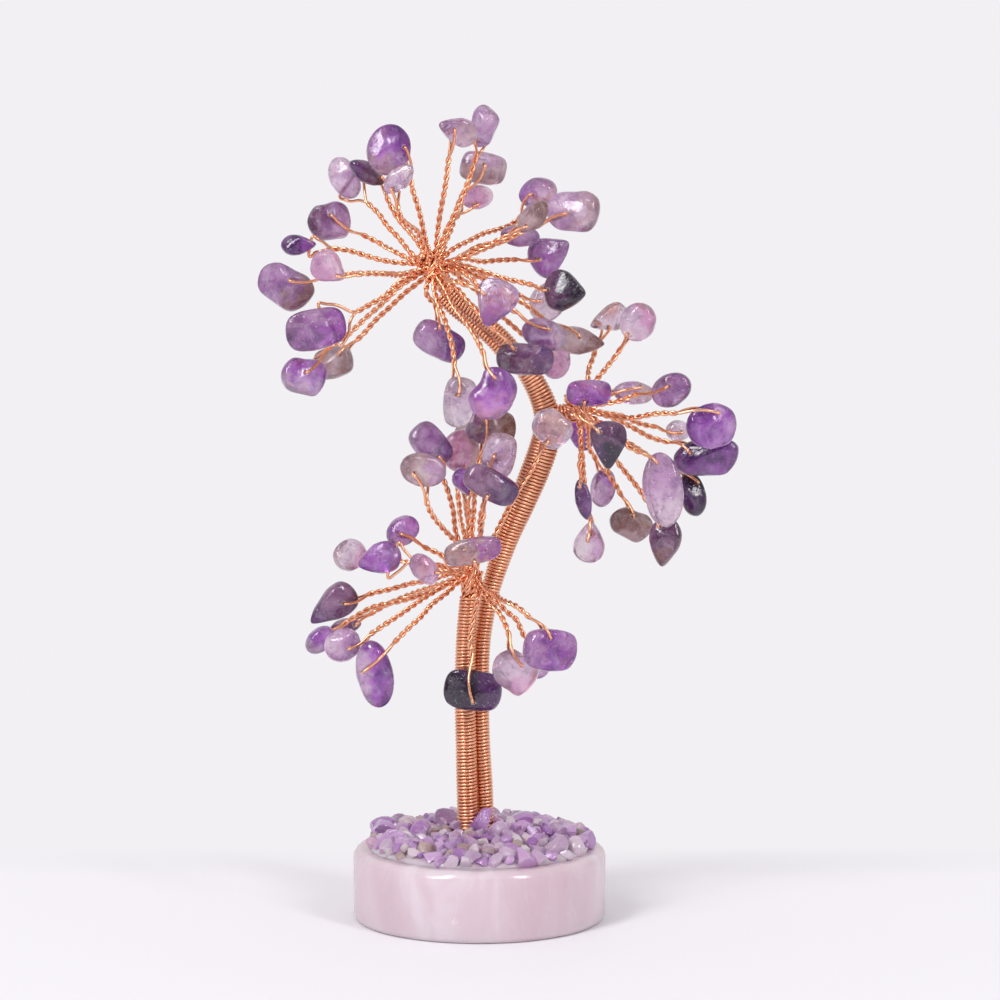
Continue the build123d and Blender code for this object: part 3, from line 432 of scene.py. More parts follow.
RIGHT_SPRAY = Spray("right", RIGHT_STONES_PX, RIGHT_KNOT_PX, RIGHT_KNOT_RADIUS, (NEAR_RIGHT_KNOT,))

# Wire and winding, in millimetres
STRAND_RADIUS = 0.235
TWIST_OFFSET = 0.265
TWIST_PITCH = 2.7
TWIST_SPACING = 0.2
WIRE_SIDES = 8
WIND_PITCH = 0.54
WIND_RADIUS = 0.24
WIND_STEPS = 18
STEM_SWELL = 0.13
SPLINE_STEPS = 24
LEG_CLEARANCE = 0.34
LEG_SPACING = 0.16
ROOT_SHARE = 0.35
BUNDLE_ANGLE = 34
BUNDLE_SHARE = 0.5
BUNDLE_LENGTH = 3.2
WAVES = ((1.3, 0.5), (2.9, 0.24), (6, 0.09))

# Colours as they are seen, in the order main, pale and dark for each kind of stone
COLOURS = {
    "violet": ("#AE5CC2", "#DDAAE6", "#6C268E"),
    "mid": ("#AE76B2", "#DCB4DC", "#743E84"),
    "lilac": ("#CEA2CC", "#EED6EA", "#A06CA8"),
    "pale": ("#E2CADC", "#F8EEF4", "#BC98BC"),
    "rose": ("#DEA4CC", "#F4DAE8", "#B878B0"),
    "smoke": ("#C4A2A8", "#E6D2D4", "#8E6A74"),
    "umber": ("#966A66", "#C8A69E", "#643E3A"),
    "rust": ("#C87C68", "#E8BEAE", "#8E4A3C"),
    "dusk": ("#84507E", "#BC90B4", "#50264E"),
    "deep": ("#703286", "#AE76BC", "#401458"),
    "ink": ("#381A44", "#744084", "#1C0A26"),
}
COPPER_COLOUR = "#F8B994"
COPPER_WORN_COLOUR = "#DC8052"
QUARTZ_COLOUR = "#E2CED8"
QUARTZ_PALE_COLOUR = "#EEE2EA"
QUARTZ_DEEP_COLOUR = "#D9BFC9"
RESIN_COLOUR = "#EEDFE6"
WALL_COLOUR = "#F2F0F3"


def linear(colour):
    """A colour written as it is seen, in the linear values that the shader takes."""
    values = [int(colour[place:place + 2], 16) / 255 for place in (1, 3, 5)]
    return tuple(value / 12.92 if value < .04045 else ((value + .055) / 1.055)**2.4
                 for value in values) + (1,)


class Nodes:
    """The node tree of a material or a world, with short calls for adding and joining nodes."""

    def __init__(self, owner, place="Object"):
        owner.use_nodes = True
        self.owner = owner
        self.tree = owner.node_tree
        self.shader = self.tree.nodes.get("Principled BSDF")
        self.place = self.add("ShaderNodeTexCoord").outputs[place]

    def add(self, kind, **values):
        node = self.tree.nodes.new(kind)
        for key, value in values.items():
            setattr(node, key, value)
        return node

    def link(self, source, socket):
        self.tree.links.new(source, socket)

    def noise(self, scale, detail=3, roughness=.5, distortion=0, place=None):
        node = self.add("ShaderNodeTexNoise")
        node.inputs["Scale"].default_value = scale
        node.inputs["Detail"].default_value = detail
        node.inputs["Roughness"].default_value = roughness
        node.inputs["Distortion"].default_value = distortion
        self.link(self.place if place is None else place, node.inputs["Vector"])
        return node.outputs["Fac"]

    def ramp(self, source, low, high, low_value=0, high_value=1):
        node = self.add("ShaderNodeMapRange", clamp=True)
        ends = {"From Min": low, "From Max": high, "To Min": low_value, "To Max": high_value}
        for socket, value in ends.items():
            node.inputs[socket].default_value = value
        self.link(source, node.inputs["Value"])
        return node.outputs["Result"]

    def feed(self, sockets, values):
        """Links each socket to another one, or sets it to a plain value."""
        for socket, value in zip(sockets, values):
            if isinstance(value, bpy.types.NodeSocket):
                self.link(value, socket)
            else:
                socket.default_value = value

    def mix(self, share, first, second, blend="MIX"):
        node = self.add("ShaderNodeMix", data_type="RGBA", blend_type=blend)
        self.feed([node.inputs[place] for place in (0, 6, 7)], (share, first, second))
        return node.outputs[2]

    def math(self, operation, first, second):
        node = self.add("ShaderNodeMath", operation=operation)
        self.feed(node.inputs, (first, second))
        return node.outputs[0]

    def seen(self):
        """Whether a ray comes from the camera, straight or through something clear."""
        path = self.add("ShaderNodeLightPath")
        return self.math("MAXIMUM", path.outputs["Is Camera Ray"], path.outputs["Is Transmission Ray"])

    def colour(self, source):
        self.link(source, self.shader.inputs["Base Color"])

    def roughness(self, source):
        self.link(source, self.shader.inputs["Roughness"])

    def bump(self, height, distance, strength=1):
        node = self.add("ShaderNodeBump")
        node.inputs["Strength"].default_value = strength
        node.inputs["Distance"].default_value = distance
        self.link(height, node.inputs["Height"])
        self.link(node.outputs["Normal"], self.shader.inputs["Normal"])

    def set(self, **values):
        for key, value in values.items():
            self.shader.inputs[key.replace("_", " ")].default_value = value


def amethyst(name, clarity, veil, gloss, glow=(1, 1, 1), density=0, zoning=.55):
    """Polished amethyst, tinted by its stone, with pale veils, darker growth zones and fine pits."""
    nodes = Nodes(bpy.data.materials.new(name))
    tint = nodes.add("ShaderNodeAttribute", attribute_name="tint").outputs["Color"]
    clouds = nodes.noise(230, 5, .62, 1.6)
    mottle = nodes.noise(700, 5, .62, .8)
    grain = nodes.noise(2600, 3)
    veiled = nodes.mix(nodes.ramp(clouds, .5, .66, 0, veil), tint, linear("#F1EBF5"))
    zones = nodes.mix(nodes.ramp(mottle, .5, .68, 0, zoning), veiled, linear("#7E4A92"), "MULTIPLY")
    specks = nodes.mix(nodes.ramp(grain, .62, .7, 0, .35), zones, linear("#F6F1F9"))
    nodes.colour(specks)
    nodes.roughness(nodes.ramp(mottle, .3, .75, gloss, gloss + .1))
    nodes.set(IOR=1.54, Transmission_Weight=clarity, Subsurface_Weight=.25, Subsurface_Scale=.0014,
              Coat_Weight=.5, Coat_Roughness=.02)
    nodes.shader.inputs["Subsurface Radius"].default_value = (1, .6, .9)
    ripples = nodes.noise(520, 4, .55, .5)
    pits = nodes.math("MULTIPLY", nodes.ramp(nodes.noise(1500, 2), .56, .72), -.22)
    nodes.bump(nodes.math("ADD", ripples, pits), .00026, .75)
    if density:
        volume = nodes.add("ShaderNodeVolumeAbsorption")
        volume.inputs["Color"].default_value = (*glow, 1)
        volume.inputs["Density"].default_value = density
        nodes.link(volume.outputs["Volume"], nodes.tree.nodes["Material Output"].inputs["Volume"])
    return nodes.owner


def copper(name, worn, bright_colour=COPPER_COLOUR, wear_and_shade_colour=COPPER_WORN_COLOUR, metal=1, gloss=.14):
    """Bright drawn copper wire, a little darker and duller in patches. Given dark colours and no metal, it
    makes the painted shade of a stem's inner bundle.
    """
    nodes = Nodes(bpy.data.materials.new(name))
    patches = nodes.noise(260, 4, .6, .3)
    scratches = nodes.noise(4200, 2)
    colour = nodes.mix(nodes.ramp(patches, .4, .72, 0, worn), linear(bright_colour), linear(wear_and_shade_colour))
    nodes.colour(colour)
    nodes.roughness(nodes.ramp(scratches, .3, .7, gloss, gloss + .14))
    nodes.set(Metallic=metal)
    nodes.bump(scratches, .00002, .2)
    return nodes.owner


def rose_quartz(name):
    """Cloudy rose quartz with broad pale bands that lie aslant and a few faint cracks, polished."""
    nodes = Nodes(bpy.data.materials.new(name))
    aslant = nodes.add("ShaderNodeMapping")
    aslant.inputs["Rotation"].default_value = (0, math.radians(35), math.radians(25))
    aslant.inputs["Scale"].default_value = (1, 1, .35)
    nodes.link(nodes.place, aslant.inputs["Vector"])
    clouds = nodes.noise(62, 4, .5, .9, aslant.outputs["Vector"])
    cracks = nodes.noise(110, 4, .5, 1.4, aslant.outputs["Vector"])
    haze = nodes.noise(420, 4, .6)
    body = nodes.mix(nodes.ramp(clouds, .38, .62), linear(QUARTZ_DEEP_COLOUR), linear(QUARTZ_COLOUR))
    cloudy = nodes.mix(nodes.ramp(clouds, .56, .68, 0, .8), body, linear(QUARTZ_PALE_COLOUR))
    bands = nodes.math("ABSOLUTE", nodes.math("SUBTRACT", cracks, .5), 0)
    cracked = nodes.mix(nodes.ramp(bands, .01, 0, 0, .12), cloudy, linear("#F4ECF1"))
    nodes.colour(nodes.mix(nodes.ramp(haze, .55, .8, 0, .15), cracked, linear("#EFE4EA")))
    nodes.roughness(nodes.ramp(haze, .3, .8, .14, .3))
    nodes.set(IOR=1.54, Transmission_Weight=.12, Subsurface_Weight=.6, Subsurface_Scale=.006,
              Coat_Weight=.4, Coat_Roughness=.06)
    nodes.shader.inputs["Subsurface Radius"].default_value = (1, .8, .85)
    nodes.bump(nodes.noise(160, 4), .0002, .35)
    return nodes.owner


def resin(name):
    """Clear poured resin over pale stone."""
    nodes = Nodes(bpy.data.materials.new(name))
    ripples = nodes.noise(380, 3, .5, .5)
    nodes.colour(nodes.mix(nodes.ramp(ripples, .4, .7), linear(RESIN_COLOUR), linear("#DCC2D4")))
    nodes.roughness(nodes.ramp(ripples, .3, .7, .05, .14))
    nodes.set(IOR=1.5, Transmission_Weight=.35, Subsurface_Weight=.3, Subsurface_Scale=.002,
              Coat_Weight=.8, Coat_Roughness=.03)
    nodes.bump(ripples, .0003, .6)
    return nodes.owner


def add_object(name, data):
    thing = bpy.data.objects.new(name, data)
    bpy.context.scene.collection.objects.link(thing)
    return thing


def add_piece(name, points, faces, material, body, slot, tint=None, sharp=None):
    """A piece made from points in millimetres, riding on its body."""
    mesh = bpy.data.meshes.new(name)
    mesh.from_pydata((np.asarray(points) * MM).tolist(), [], faces)
    mesh.shade_smooth()
    if sharp is not None:
        mesh.set_sharp_from_angle(angle=math.radians(sharp))
    if tint is not None:
        colours = mesh.color_attributes.new("tint", "FLOAT_COLOR", "POINT")
        colours.data.foreach_set("color", np.asarray(tint, dtype=np.float32).ravel())
    mesh.materials.append(material)
    piece = add_object(name, mesh)
    if body:
        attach(piece, body)
    return piece


class Parts:
    """Points and faces of several forms gathered into one mesh."""

    def __init__(self):
        self.points = []
        self.faces = []
        self.tints = []

    def add(self, points, faces, tint=None):
        first = len(self.points)
        self.points.extend(points)
        self.faces.extend([tuple(first + corner for corner in face) for face in faces])
        if tint is not None:
            self.tints.extend(tint)


def at_places(places, lengths, rows):
    """The rows that a line has at some distances along it."""
    return np.stack([np.interp(places, lengths, column) for column in rows.T], axis=1)


def even_line(points, spacing):
    """The same line with its points an even distance apart."""
    lengths = travelled(points)
    places = np.linspace(0, lengths[-1], max(3, int(lengths[-1] / spacing) + 1))
    return at_places(places, lengths, points)


def spline(guides, spacing):
    """A smooth line drawn by a chain of guide points, from the first to the last."""
    guides = np.asarray(guides, dtype=float)
    middles = (guides[1:-2] + guides[2:-1]) / 2
    starts = [guides[0], *middles]
    ends = [*middles, guides[-1]]
    points = []
    for start, guide, end in zip(starts, guides[1:-1], ends):
        for step in range(SPLINE_STEPS):
            t = step / SPLINE_STEPS
            points.append((1 - t)**2 * start + 2 * t * (1 - t) * guide + t**2 * end)
    points.append(guides[-1])
    return even_line(np.array(points), spacing)


def soften(points, rounds):
    """Rounds the kinks of an evenly spaced line without moving its ends."""
    points = np.array(points)
    for _ in range(rounds):
        points[1:-1] = (points[:-2] + 2 * points[1:-1] + points[2:]) / 4
    return points


def frames(line, lead):
    """Two directions across a line at each of its points, carried along from a lead at its first."""
    ways = np.gradient(line, axis=0)
    ways /= np.linalg.norm(ways, axis=1)[:, None]
    sides = np.empty_like(line)
    side = lead
    for index, way in enumerate(ways):
        side = unit(side - way * (side @ way))
        sides[index] = side
    return sides, np.cross(ways, sides)


def circle(angles, side, up):
    """The direction at each angle from one direction towards another."""
    return np.cos(angles)[..., None] * side + np.sin(angles)[..., None] * up


def skin(rings):
    """A closed form over rings of points, each as many as the last."""
    sides = len(rings[0])
    faces = []
    for first in range(0, (len(rings) - 1) * sides, sides):
        for corner in range(sides):
            after = (corner + 1) % sides
            faces.append((first + corner, first + after, first + sides + after, first + sides + corner))
    faces.append(tuple(range(sides))[::-1])
    faces.append(tuple((len(rings) - 1) * sides + corner for corner in range(sides)))
    return np.concatenate(rings), faces


def tube(line, radius):
    """A round wire along a line."""
    way = line[1] - line[0]
    upright = abs(way[2]) >= .9 * np.linalg.norm(way)
    side, up = frames(line, unit(np.cross(way, (1, 0, 0) if upright else (0, 0, 1))))
    angles = np.arange(WIRE_SIDES) * 2 * math.pi / WIRE_SIDES
    return skin(line[:, None, :] + radius * circle(angles, side[:, None, :], up[:, None, :]))


def twisted(line, lead, phase=0):
    """Two strands twisted together round a line, side by side along the lead at its first point."""
    side, up = frames(line, lead)
    offset = TWIST_OFFSET * circle(phase + 2 * math.pi * travelled(line) / TWIST_PITCH, side, up)
    return line + offset, line - offset


# The stones. Each gets its own tumbled shape: broad soft facets on its faces, shallow dents and
# a fine unevenness
STONE_DIVISIONS = 5
CRUMB_DIVISIONS = 3
FACETS = 12
FACET_ROUNDING = 0.12
OUTLINE_ROUNDING = 0.35
EASE_DEG = (-34, -17, 0, 17, 34)
EASE_SHARE = 0.3
FACET_LEAN = (.1, .9)
FACET_DEPTH_SHARE = (.77, .94)
DENTS = 3
DENT_WIDTH = (.7, 1.5)
DENT_DEPTH = (.03, .14)
STONE_NOISE = 0.045
NOISE_SEEDS = (0, 100)
DRILL_SIDES = 20
DRILL_MOUTH = 0.07
DRILL_OVERRUN = 1
HOLE_SHARP_DEG = 48


def profile_reach(height_angle):
    """How far a stone's section reaches at an angle above its middle plane, in shares."""
    heights = np.array([height for height, _ in SECTION_SHARES if height >= 0] + [.98])
    scales = np.array([scale for height, scale in SECTION_SHARES if height >= 0] + [0])
    return np.interp(np.abs(height_angle), np.arctan2(heights, scales), np.hypot(heights, scales))


def outline_reach(outline, angles):
    """How far a stone's outline reaches at angles round its middle, in shares."""
    corners = np.array(outline)
    chain = smooth_chain(np.vstack((corners[-2:], corners, corners[:3])), SPLINE_STEPS)
    turns = np.unwrap(np.arctan2(chain[:, 1], chain[:, 0]))
    around = [np.interp(np.mod(angles + ease - turns[0], 2 * math.pi) + turns[0], turns,
                        np.hypot(chain[:, 0], chain[:, 1])) for ease in np.radians(EASE_DEG)]
    reach = around[len(around) // 2]
    reach = reach + (np.mean(around, axis=0) * 1.02 - reach) * EASE_SHARE
    return reach + OUTLINE_ROUNDING * np.maximum(reach - 1, 0) * (1 / reach - 1)


def icosphere(divisions):
    """Points and triangles of an even ball of radius 1."""
    form = bmesh.new()
    bmesh.ops.create_icosphere(form, subdivisions=divisions, radius=1)
    points = np.array([vertex.co[:] for vertex in form.verts])
    faces = [tuple(vertex.index for vertex in face.verts) for face in form.faces]
    form.free()
    return points, faces


def soft_cut(points, normal, depth, rounding):
    """Cuts points back to a plane, with a rounded edge."""
    over = (points @ normal - depth) / rounding
    back = rounding * np.where(over > 20, over, np.log1p(np.exp(np.minimum(over, 20))))
    return points - back[:, None] * normal


def noise_shift(points, scale, seed):
    """A smooth random value at each point, about -1 to 1."""
    return np.array([noise.noise(Vector(point / scale) + Vector((seed, 0, 0))) for point in points])


STONE_BALL = icosphere(STONE_DIVISIONS)
CRUMB_BALL = icosphere(CRUMB_DIVISIONS)


def stone_shape(stone, chance):
    """A tumbled stone's points, in its own directions from its middle."""
    ball, faces = STONE_BALL
    rho = np.hypot(ball[:, 0], ball[:, 1])
    reach = profile_reach(np.arctan2(ball[:, 2], rho))
    around = outline_reach(stone.outline, np.arctan2(ball[:, 1], ball[:, 0]))
    points = np.stack((ball[:, 0] * reach * around, ball[:, 1] * reach * around, ball[:, 2] * reach), axis=1)
    points *= stone.half_sizes
    for facet in range(FACETS):
        lean = chance.uniform(*FACET_LEAN)
        angle = chance.uniform(0, 2 * math.pi)
        normal = unit(np.array((lean * math.cos(angle), lean * math.sin(angle), 1 if facet % 2 else -1)))
        depth = (points @ normal).max() * chance.uniform(*FACET_DEPTH_SHARE)
        points = soft_cut(points, normal, depth, FACET_ROUNDING)
    for _ in range(DENTS):
        place = points[chance.randrange(len(points))]
        width = chance.uniform(*DENT_WIDTH)
        deep = chance.uniform(*DENT_DEPTH)
        near = np.exp(-np.sum((points - place)**2, axis=1) / (2 * width**2))
        points -= near[:, None] * deep * unit(place)
    shift = noise_shift(points, 1.7, chance.uniform(*NOISE_SEEDS))
    shift = shift + .4 * noise_shift(points, .7, chance.uniform(*NOISE_SEEDS))
    away = points / np.linalg.norm(points, axis=1)[:, None]
    return points + STONE_NOISE * shift[:, None] * away, faces


def drill(stone, points):
    """The drill that makes a stone's hole, a little wider at both mouths."""
    along = (points - stone.hole) @ stone.axis
    aside = np.linalg.norm(points - stone.hole - along[:, None] * stone.axis, axis=1)
    near = along[aside < 3 * STRAND_RADIUS]
    radius = STRAND_RADIUS + HOLE_CLEARANCE
    low = near.min()
    high = near.max()
    heights = (low - DRILL_OVERRUN, low - .1, low + .12, high - .12, high + .1, high + DRILL_OVERRUN)
    widenings = (2, 1, 0, 0, 1, 2)
    across = unit(np.cross(stone.axis, (.3, .5, .81)))
    angles = np.arange(DRILL_SIDES) * 2 * math.pi / DRILL_SIDES
    ways = circle(angles, across, np.cross(stone.axis, across))
    return skin([stone.hole + stone.axis * height + (radius + DRILL_MOUTH * widening) * ways
                 for height, widening in zip(heights, widenings)])


def drilled(piece, stone, points):
    """Cuts a stone's hole through its mesh."""
    rings, faces = drill(stone, points)
    tool = add_piece("drill", rings, faces, piece.data.materials[0], None, None)
    cut = piece.modifiers.new("hole", "BOOLEAN")
    cut.operation = "DIFFERENCE"
    cut.solver = "EXACT"
    cut.object = tool
    graph = bpy.context.evaluated_depsgraph_get()
    mesh = bpy.data.meshes.new_from_object(piece.evaluated_get(graph))
    piece.modifiers.clear()
    piece.data = mesh
    bpy.data.objects.remove(tool)


def stone_tints(stone, shape, chance):
    """A stone's colours: its main colour with a paler and a darker end and cloudy patches."""
    main, pale, dark = [np.array(linear(colour)[:3]) for colour in COLOURS[stone.colour]]
    angle = chance.uniform(0, 2 * math.pi)
    slope = shape / np.array(stone.half_sizes) @ np.array((math.cos(angle), math.sin(angle), .3))
    patches = noise_shift(shape, 2.2, chance.uniform(*NOISE_SEEDS))
    level = slope * .6 + patches * 1.3 + chance.uniform(-.1, .15)
    toward_pale = np.clip(level, 0, 1)[:, None]
    toward_dark = np.clip(-level, 0, 1)[:, None]
    tint = main + (pale - main) * toward_pale * .9 + (dark - main) * toward_dark * .9
    if stone.second:
        second, heading = stone.second
        heading = math.radians(heading)
        places = (shape @ stone.axes) @ np.array((math.cos(heading), 0, math.sin(heading)))
        clouds = noise_shift(shape, 1.4, chance.uniform(*NOISE_SEEDS))
        share = places / np.abs(places).max() * 1.6 + clouds * 1.2
        other = np.array(linear(COLOURS[second][0])[:3])
        tint = tint + (other - tint) * np.clip(share * 1.4 - .1, 0, .92)[:, None]
    return np.concatenate((tint, np.ones((len(tint), 1))), axis=1)


def build_stone(stone, body, number):
    """One stone as a piece, with its hole. Returns its points for the wire to follow."""
    chance = random.Random(number)
    shape, faces = stone_shape(stone, chance)
    points = stone.middle + shape @ stone.axes
    piece = add_piece(stone.name + "_gem", points, faces, GEMS[stone.colour], body,
                      "amethyst_" + stone.colour, tint=stone_tints(stone, shape, chance))
    drilled(piece, stone, points)
    piece.data.shade_smooth()
    piece.data.set_sharp_from_angle(angle=math.radians(HOLE_SHARP_DEG))
    return piece, points


# The wires
KNOT_TURNS = 18
KNOT_TURN_POINTS = 60
KNOT_TURN_SHARE = (.2, .6)
KNOT_TURN_ANGLE = (3, 6)
NECK_TURN_STEP = .382
COIL_TURN_POINTS = 24
TWIG_TRIES = 9
TWIG_SEED = 1000
KNOT_SEED = 2000
NECK_SEED = 3000
CORE_STRAY = .9
ROOT_STRAY = .6
TWIG_BEND = (.25, .8)
STONE_SQUARENESS = 2.6
LEG_SOFTENING = 6
STONE_ROOM = .55
COIL_PITCH = .55


def leg_line(stone, loop, points, axis, bend):
    """The wire from the throat over one face of a stone and into its hole, bowed a little aside."""
    aside = np.cross(axis, loop.inward)
    along = (points - stone.hole) @ loop.inward
    up = (points - stone.hole) @ axis
    beside = np.abs((points - stone.hole) @ aside)
    reach = (loop.throat - stone.hole) @ loop.inward
    edge = reach - THROAT_LENGTH

    def height(place):
        near = (np.abs(along - place) < .5) & (beside < .45 + .17 * abs(place))
        return up[near].max() if near.any() else 0

    guides = [(reach, STRAND_RADIUS), (reach - .35 * THROAT_LENGTH, .5)]
    steps = max(2, int(edge / .9))
    for step in range(steps):
        place = edge * (1 - step / steps)
        rise = height(place) + LEG_CLEARANCE
        guides.append((place, rise if step else max(.9, rise)))
    top = height(0)
    guides += [(.5, top + LEG_CLEARANCE + .26), (.04, top + LEG_CLEARANCE + .42), (-.1, top + .12),
               (0, top - .4), (0, 0)]
    bow = aside * bend * min(1, edge / 3)
    return np.array([stone.hole + loop.inward * place + axis * rise
                     + bow * max(0, math.sin(math.pi * place / reach)) for place, rise in guides])


def clear_of_stones(line, stones, own):
    """Whether a twig's line keeps out of every stone but its own."""
    for stone in stones:
        if stone.name == own:
            continue
        shares = np.abs((line - stone.middle) @ stone.axes.T) / (np.array(stone.half_sizes) + STONE_ROOM)
        if (np.sum(shares**STONE_SQUARENESS, axis=1) < 1).any():
            return False
    return True


def twig_line(spray, index, mouth, chance, looseness):
    """A twig's line from its stem's mouth through the knot, in company at first, then on its own."""
    knot = spray.knot
    root, fan, approach, throat = spray.routes[index]
    way = unit(root - knot)
    ways = np.array([unit(route[0] - knot) for route in spray.routes])
    company = unit(ways[ways @ way > math.cos(math.radians(BUNDLE_ANGLE))].mean(axis=0))
    lean = unit(way + (company - way) * BUNDLE_SHARE * looseness)
    core = knot + stray(chance, CORE_STRAY)
    end = knot + (mouth - knot) * ROOT_SHARE + stray(chance, ROOT_STRAY)
    near = knot + lean * spray.knot_radius
    far = near + lean * min(BUNDLE_LENGTH, np.linalg.norm(throat - near) * .4)
    guides = [end, (end + core) / 2, core, (core + near) / 2, near, far, approach, throat]
    line = spline(guides, TWIST_SPACING)
    share = np.linspace(0, 1, len(line))[:, None]
    calm = np.clip((1 - share) * 5, 0, 1) * np.clip(share * 4, 0, 1)
    for waves, height in WAVES:
        sway = stray(chance, 1)
        wave = np.sin(share * math.pi * waves + chance.uniform(0, 6))
        line = line + looseness * height * wave * calm * sway
    return line


def build_twig(spray, index, points, mouth, stones, body, number):
    """One twig: two wires twisted from the knot to the throat, then round the stone and through it."""
    stone = spray.stones[index]
    loop = spray.loops[index]
    for attempt in range(TWIG_TRIES):
        chance = random.Random(TWIG_SEED * attempt + number)
        line = twig_line(spray, index, mouth, chance, 1 - attempt / (TWIG_TRIES - 1))
        if clear_of_stones(line[len(line) // 3:], stones, stone.name):
            break
    forward, backward = twisted(line[::-1], stone.axis)
    bend = chance.choice((-1, 1)) * chance.uniform(*TWIG_BEND)
    form = Parts()
    for strand, side in ((forward, 1), (backward, -1)):
        leg = spline(leg_line(stone, loop, points, stone.axis * side, bend * side), LEG_SPACING)
        whole = even_line(np.vstack((strand[:2:-1], leg)), LEG_SPACING)
        form.add(*tube(soften(whole, LEG_SOFTENING), STRAND_RADIUS))
    return add_piece(stone.name + "_twig", form.points, form.faces, COPPER, body, "copper_wire")


def build_knot(name, spray, way, body, number):
    """The gathered wires of a knot: turns of wire round and across one another."""
    chance = random.Random(KNOT_SEED + number)
    form = Parts()
    for turn in range(KNOT_TURNS):
        axis = unit(way * chance.uniform(.4, 1.5) + stray(chance, 1))
        across = unit(np.cross(axis, (.3, .2, .9)))
        radius = spray.knot_radius * chance.uniform(*KNOT_TURN_SHARE)
        start = chance.uniform(0, 2 * math.pi)
        angles = start + np.linspace(0, chance.uniform(*KNOT_TURN_ANGLE), KNOT_TURN_POINTS)
        drift = way * spray.knot_radius * chance.uniform(-.6, .6)
        sway = axis * chance.uniform(.2, .9)
        line = (spray.knot + drift + radius * circle(angles, across, np.cross(axis, across))
                + np.sin(angles * chance.uniform(.6, 1.6))[:, None] * sway)
        form.add(*tube(line, STRAND_RADIUS))
    return add_piece(name + "_gather", form.points, form.faces, COPPER, body, "copper_wire")


def build_neck(name, start, end, start_radius, end_radius, count, coil, number):
    """Bare twisted pairs from a stem's mouth up into its knot, with turns of wire round them."""
    chance = random.Random(NECK_SEED + number)
    way = unit(end - start)
    third = way * .3 * np.linalg.norm(end - start)
    across = unit(np.cross(way, (.2, 1, .1)))
    up = np.cross(way, across)
    form = Parts()
    for strand in range(count):
        angle = 2 * math.pi * strand * NECK_TURN_STEP
        spread = math.sqrt((strand + .5) / count)
        offset, turned = circle(np.array((angle, angle + .8)), across, up)
        guides = [start + offset * spread * start_radius,
                  start + third + offset * spread * start_radius * 1.05,
                  end - third + turned * spread * end_radius,
                  end + turned * spread * end_radius * chance.uniform(.7, 1.2)]
        line = spline(guides, TWIST_SPACING)
        for wire in twisted(line, across, chance.uniform(0, 6)):
            form.add(*tube(wire, STRAND_RADIUS))
    if coil:
        angles = np.linspace(0, 2 * math.pi * coil, COIL_TURN_POINTS * coil)
        rises = way * ((angles / (2 * math.pi) - coil / 2) * COIL_PITCH)[:, None]
        line = start + (end - start) * .45 + rises + (start_radius + .55) * circle(angles, across, up)
        form.add(*tube(line, STRAND_RADIUS))
    neck = add_piece(name, form.points, form.faces, COPPER, None, None)
    return neck


# The wound stems
BUNDLE_SIDES = 28
BUNDLE_SINK = .55
WAY_WINDOW = 41


def winding(chain):
    """One wire wound closely round a stem, and the bundle inside it, coloured dark as painted shade in the
    gaps between the turns.
    """
    lengths = travelled(chain[:, :3])
    turns = int(lengths[-1] / WIND_PITCH)
    steps = turns * WIND_STEPS
    rows = at_places(np.linspace(0, lengths[-1], steps + 1), lengths, chain)
    centre = rows[:, :3]
    padded = np.pad(centre, ((WAY_WINDOW // 2, WAY_WINDOW // 2), (0, 0)), "edge")
    smooth = np.stack([np.convolve(column, np.ones(WAY_WINDOW) / WAY_WINDOW, "valid")
                       for column in padded.T], axis=1)
    ways = np.gradient(smooth, axis=0)
    ways /= np.linalg.norm(ways, axis=1)[:, None]
    side = np.cross(np.broadcast_to((0, 1, 0), ways.shape), ways)
    side /= np.linalg.norm(side, axis=1)[:, None]
    front = np.cross(ways, side)
    radius = rows[:, 3] + STEM_SWELL - WIND_RADIUS
    angles = np.linspace(0, 2 * math.pi * turns, steps + 1)
    wire = centre + radius[:, None] * circle(angles, side, front)
    angles = np.arange(BUNDLE_SIDES) * 2 * math.pi / BUNDLE_SIDES
    inner = radius - WIND_RADIUS * BUNDLE_SINK
    rings = [centre[pick] + inner[pick] * circle(angles, side[pick], front[pick])
             for pick in np.linspace(0, steps, max(4, turns)).astype(int)]
    return tube(wire, WIND_RADIUS), skin(rings)


def wind(name, chain, *nodes):
    """The winding of a stem as one piece, and the bundle inside it as another, in the dark copper of painted
    shade.
    """
    for suffix, form, material in zip(("_winding", "_bundle"), winding(chain), (COPPER_COIL, COPPER_PAINTED_SHADE)):
        piece = add_piece(name + suffix, *form, material, "stand", "copper_wire")
        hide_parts(*nodes)


# The crumbs on the disc
CRUMB_SIZES = (2, 2.5, 3, 3.6, 4.4)
FRONT_CRUMB_PX = (481, 823)
FRONT_CRUMB_LAYER = -.62
GRAVEL_SEED = 7
CRUMB_TRIES = 9000
LOWER_CRUMB_TRIES = 5500
LAYER_RISE = 0.8
HEAP_RADIUS = 17
CRUMB_NEARNESS = 0.335
CRUMB_CUTS = 10
CRUMB_CUT_SHARE = (.52, .82)
CRUMB_TONE = (-.25, 1.3)
CRUMB_SHARP_DEG = 26
CRUMB_PALE_SHARE = 0.12
CRUMB_COLOURS = {
    "gravel_violet": ("violet", "violet", "mid", "violet"),
    "gravel_lilac": ("mid", "lilac", "violet"),
    "gravel_rose": ("rose", "violet", "smoke", "pale", "lilac", "umber"),
}
POOL_SHARE = 0.58
DISC_SIDES = 220
POOL_SIDES = 160
POOL_RINGS = 25
FLAT_TOP_RADII = (17.6, 16, 10, 4)


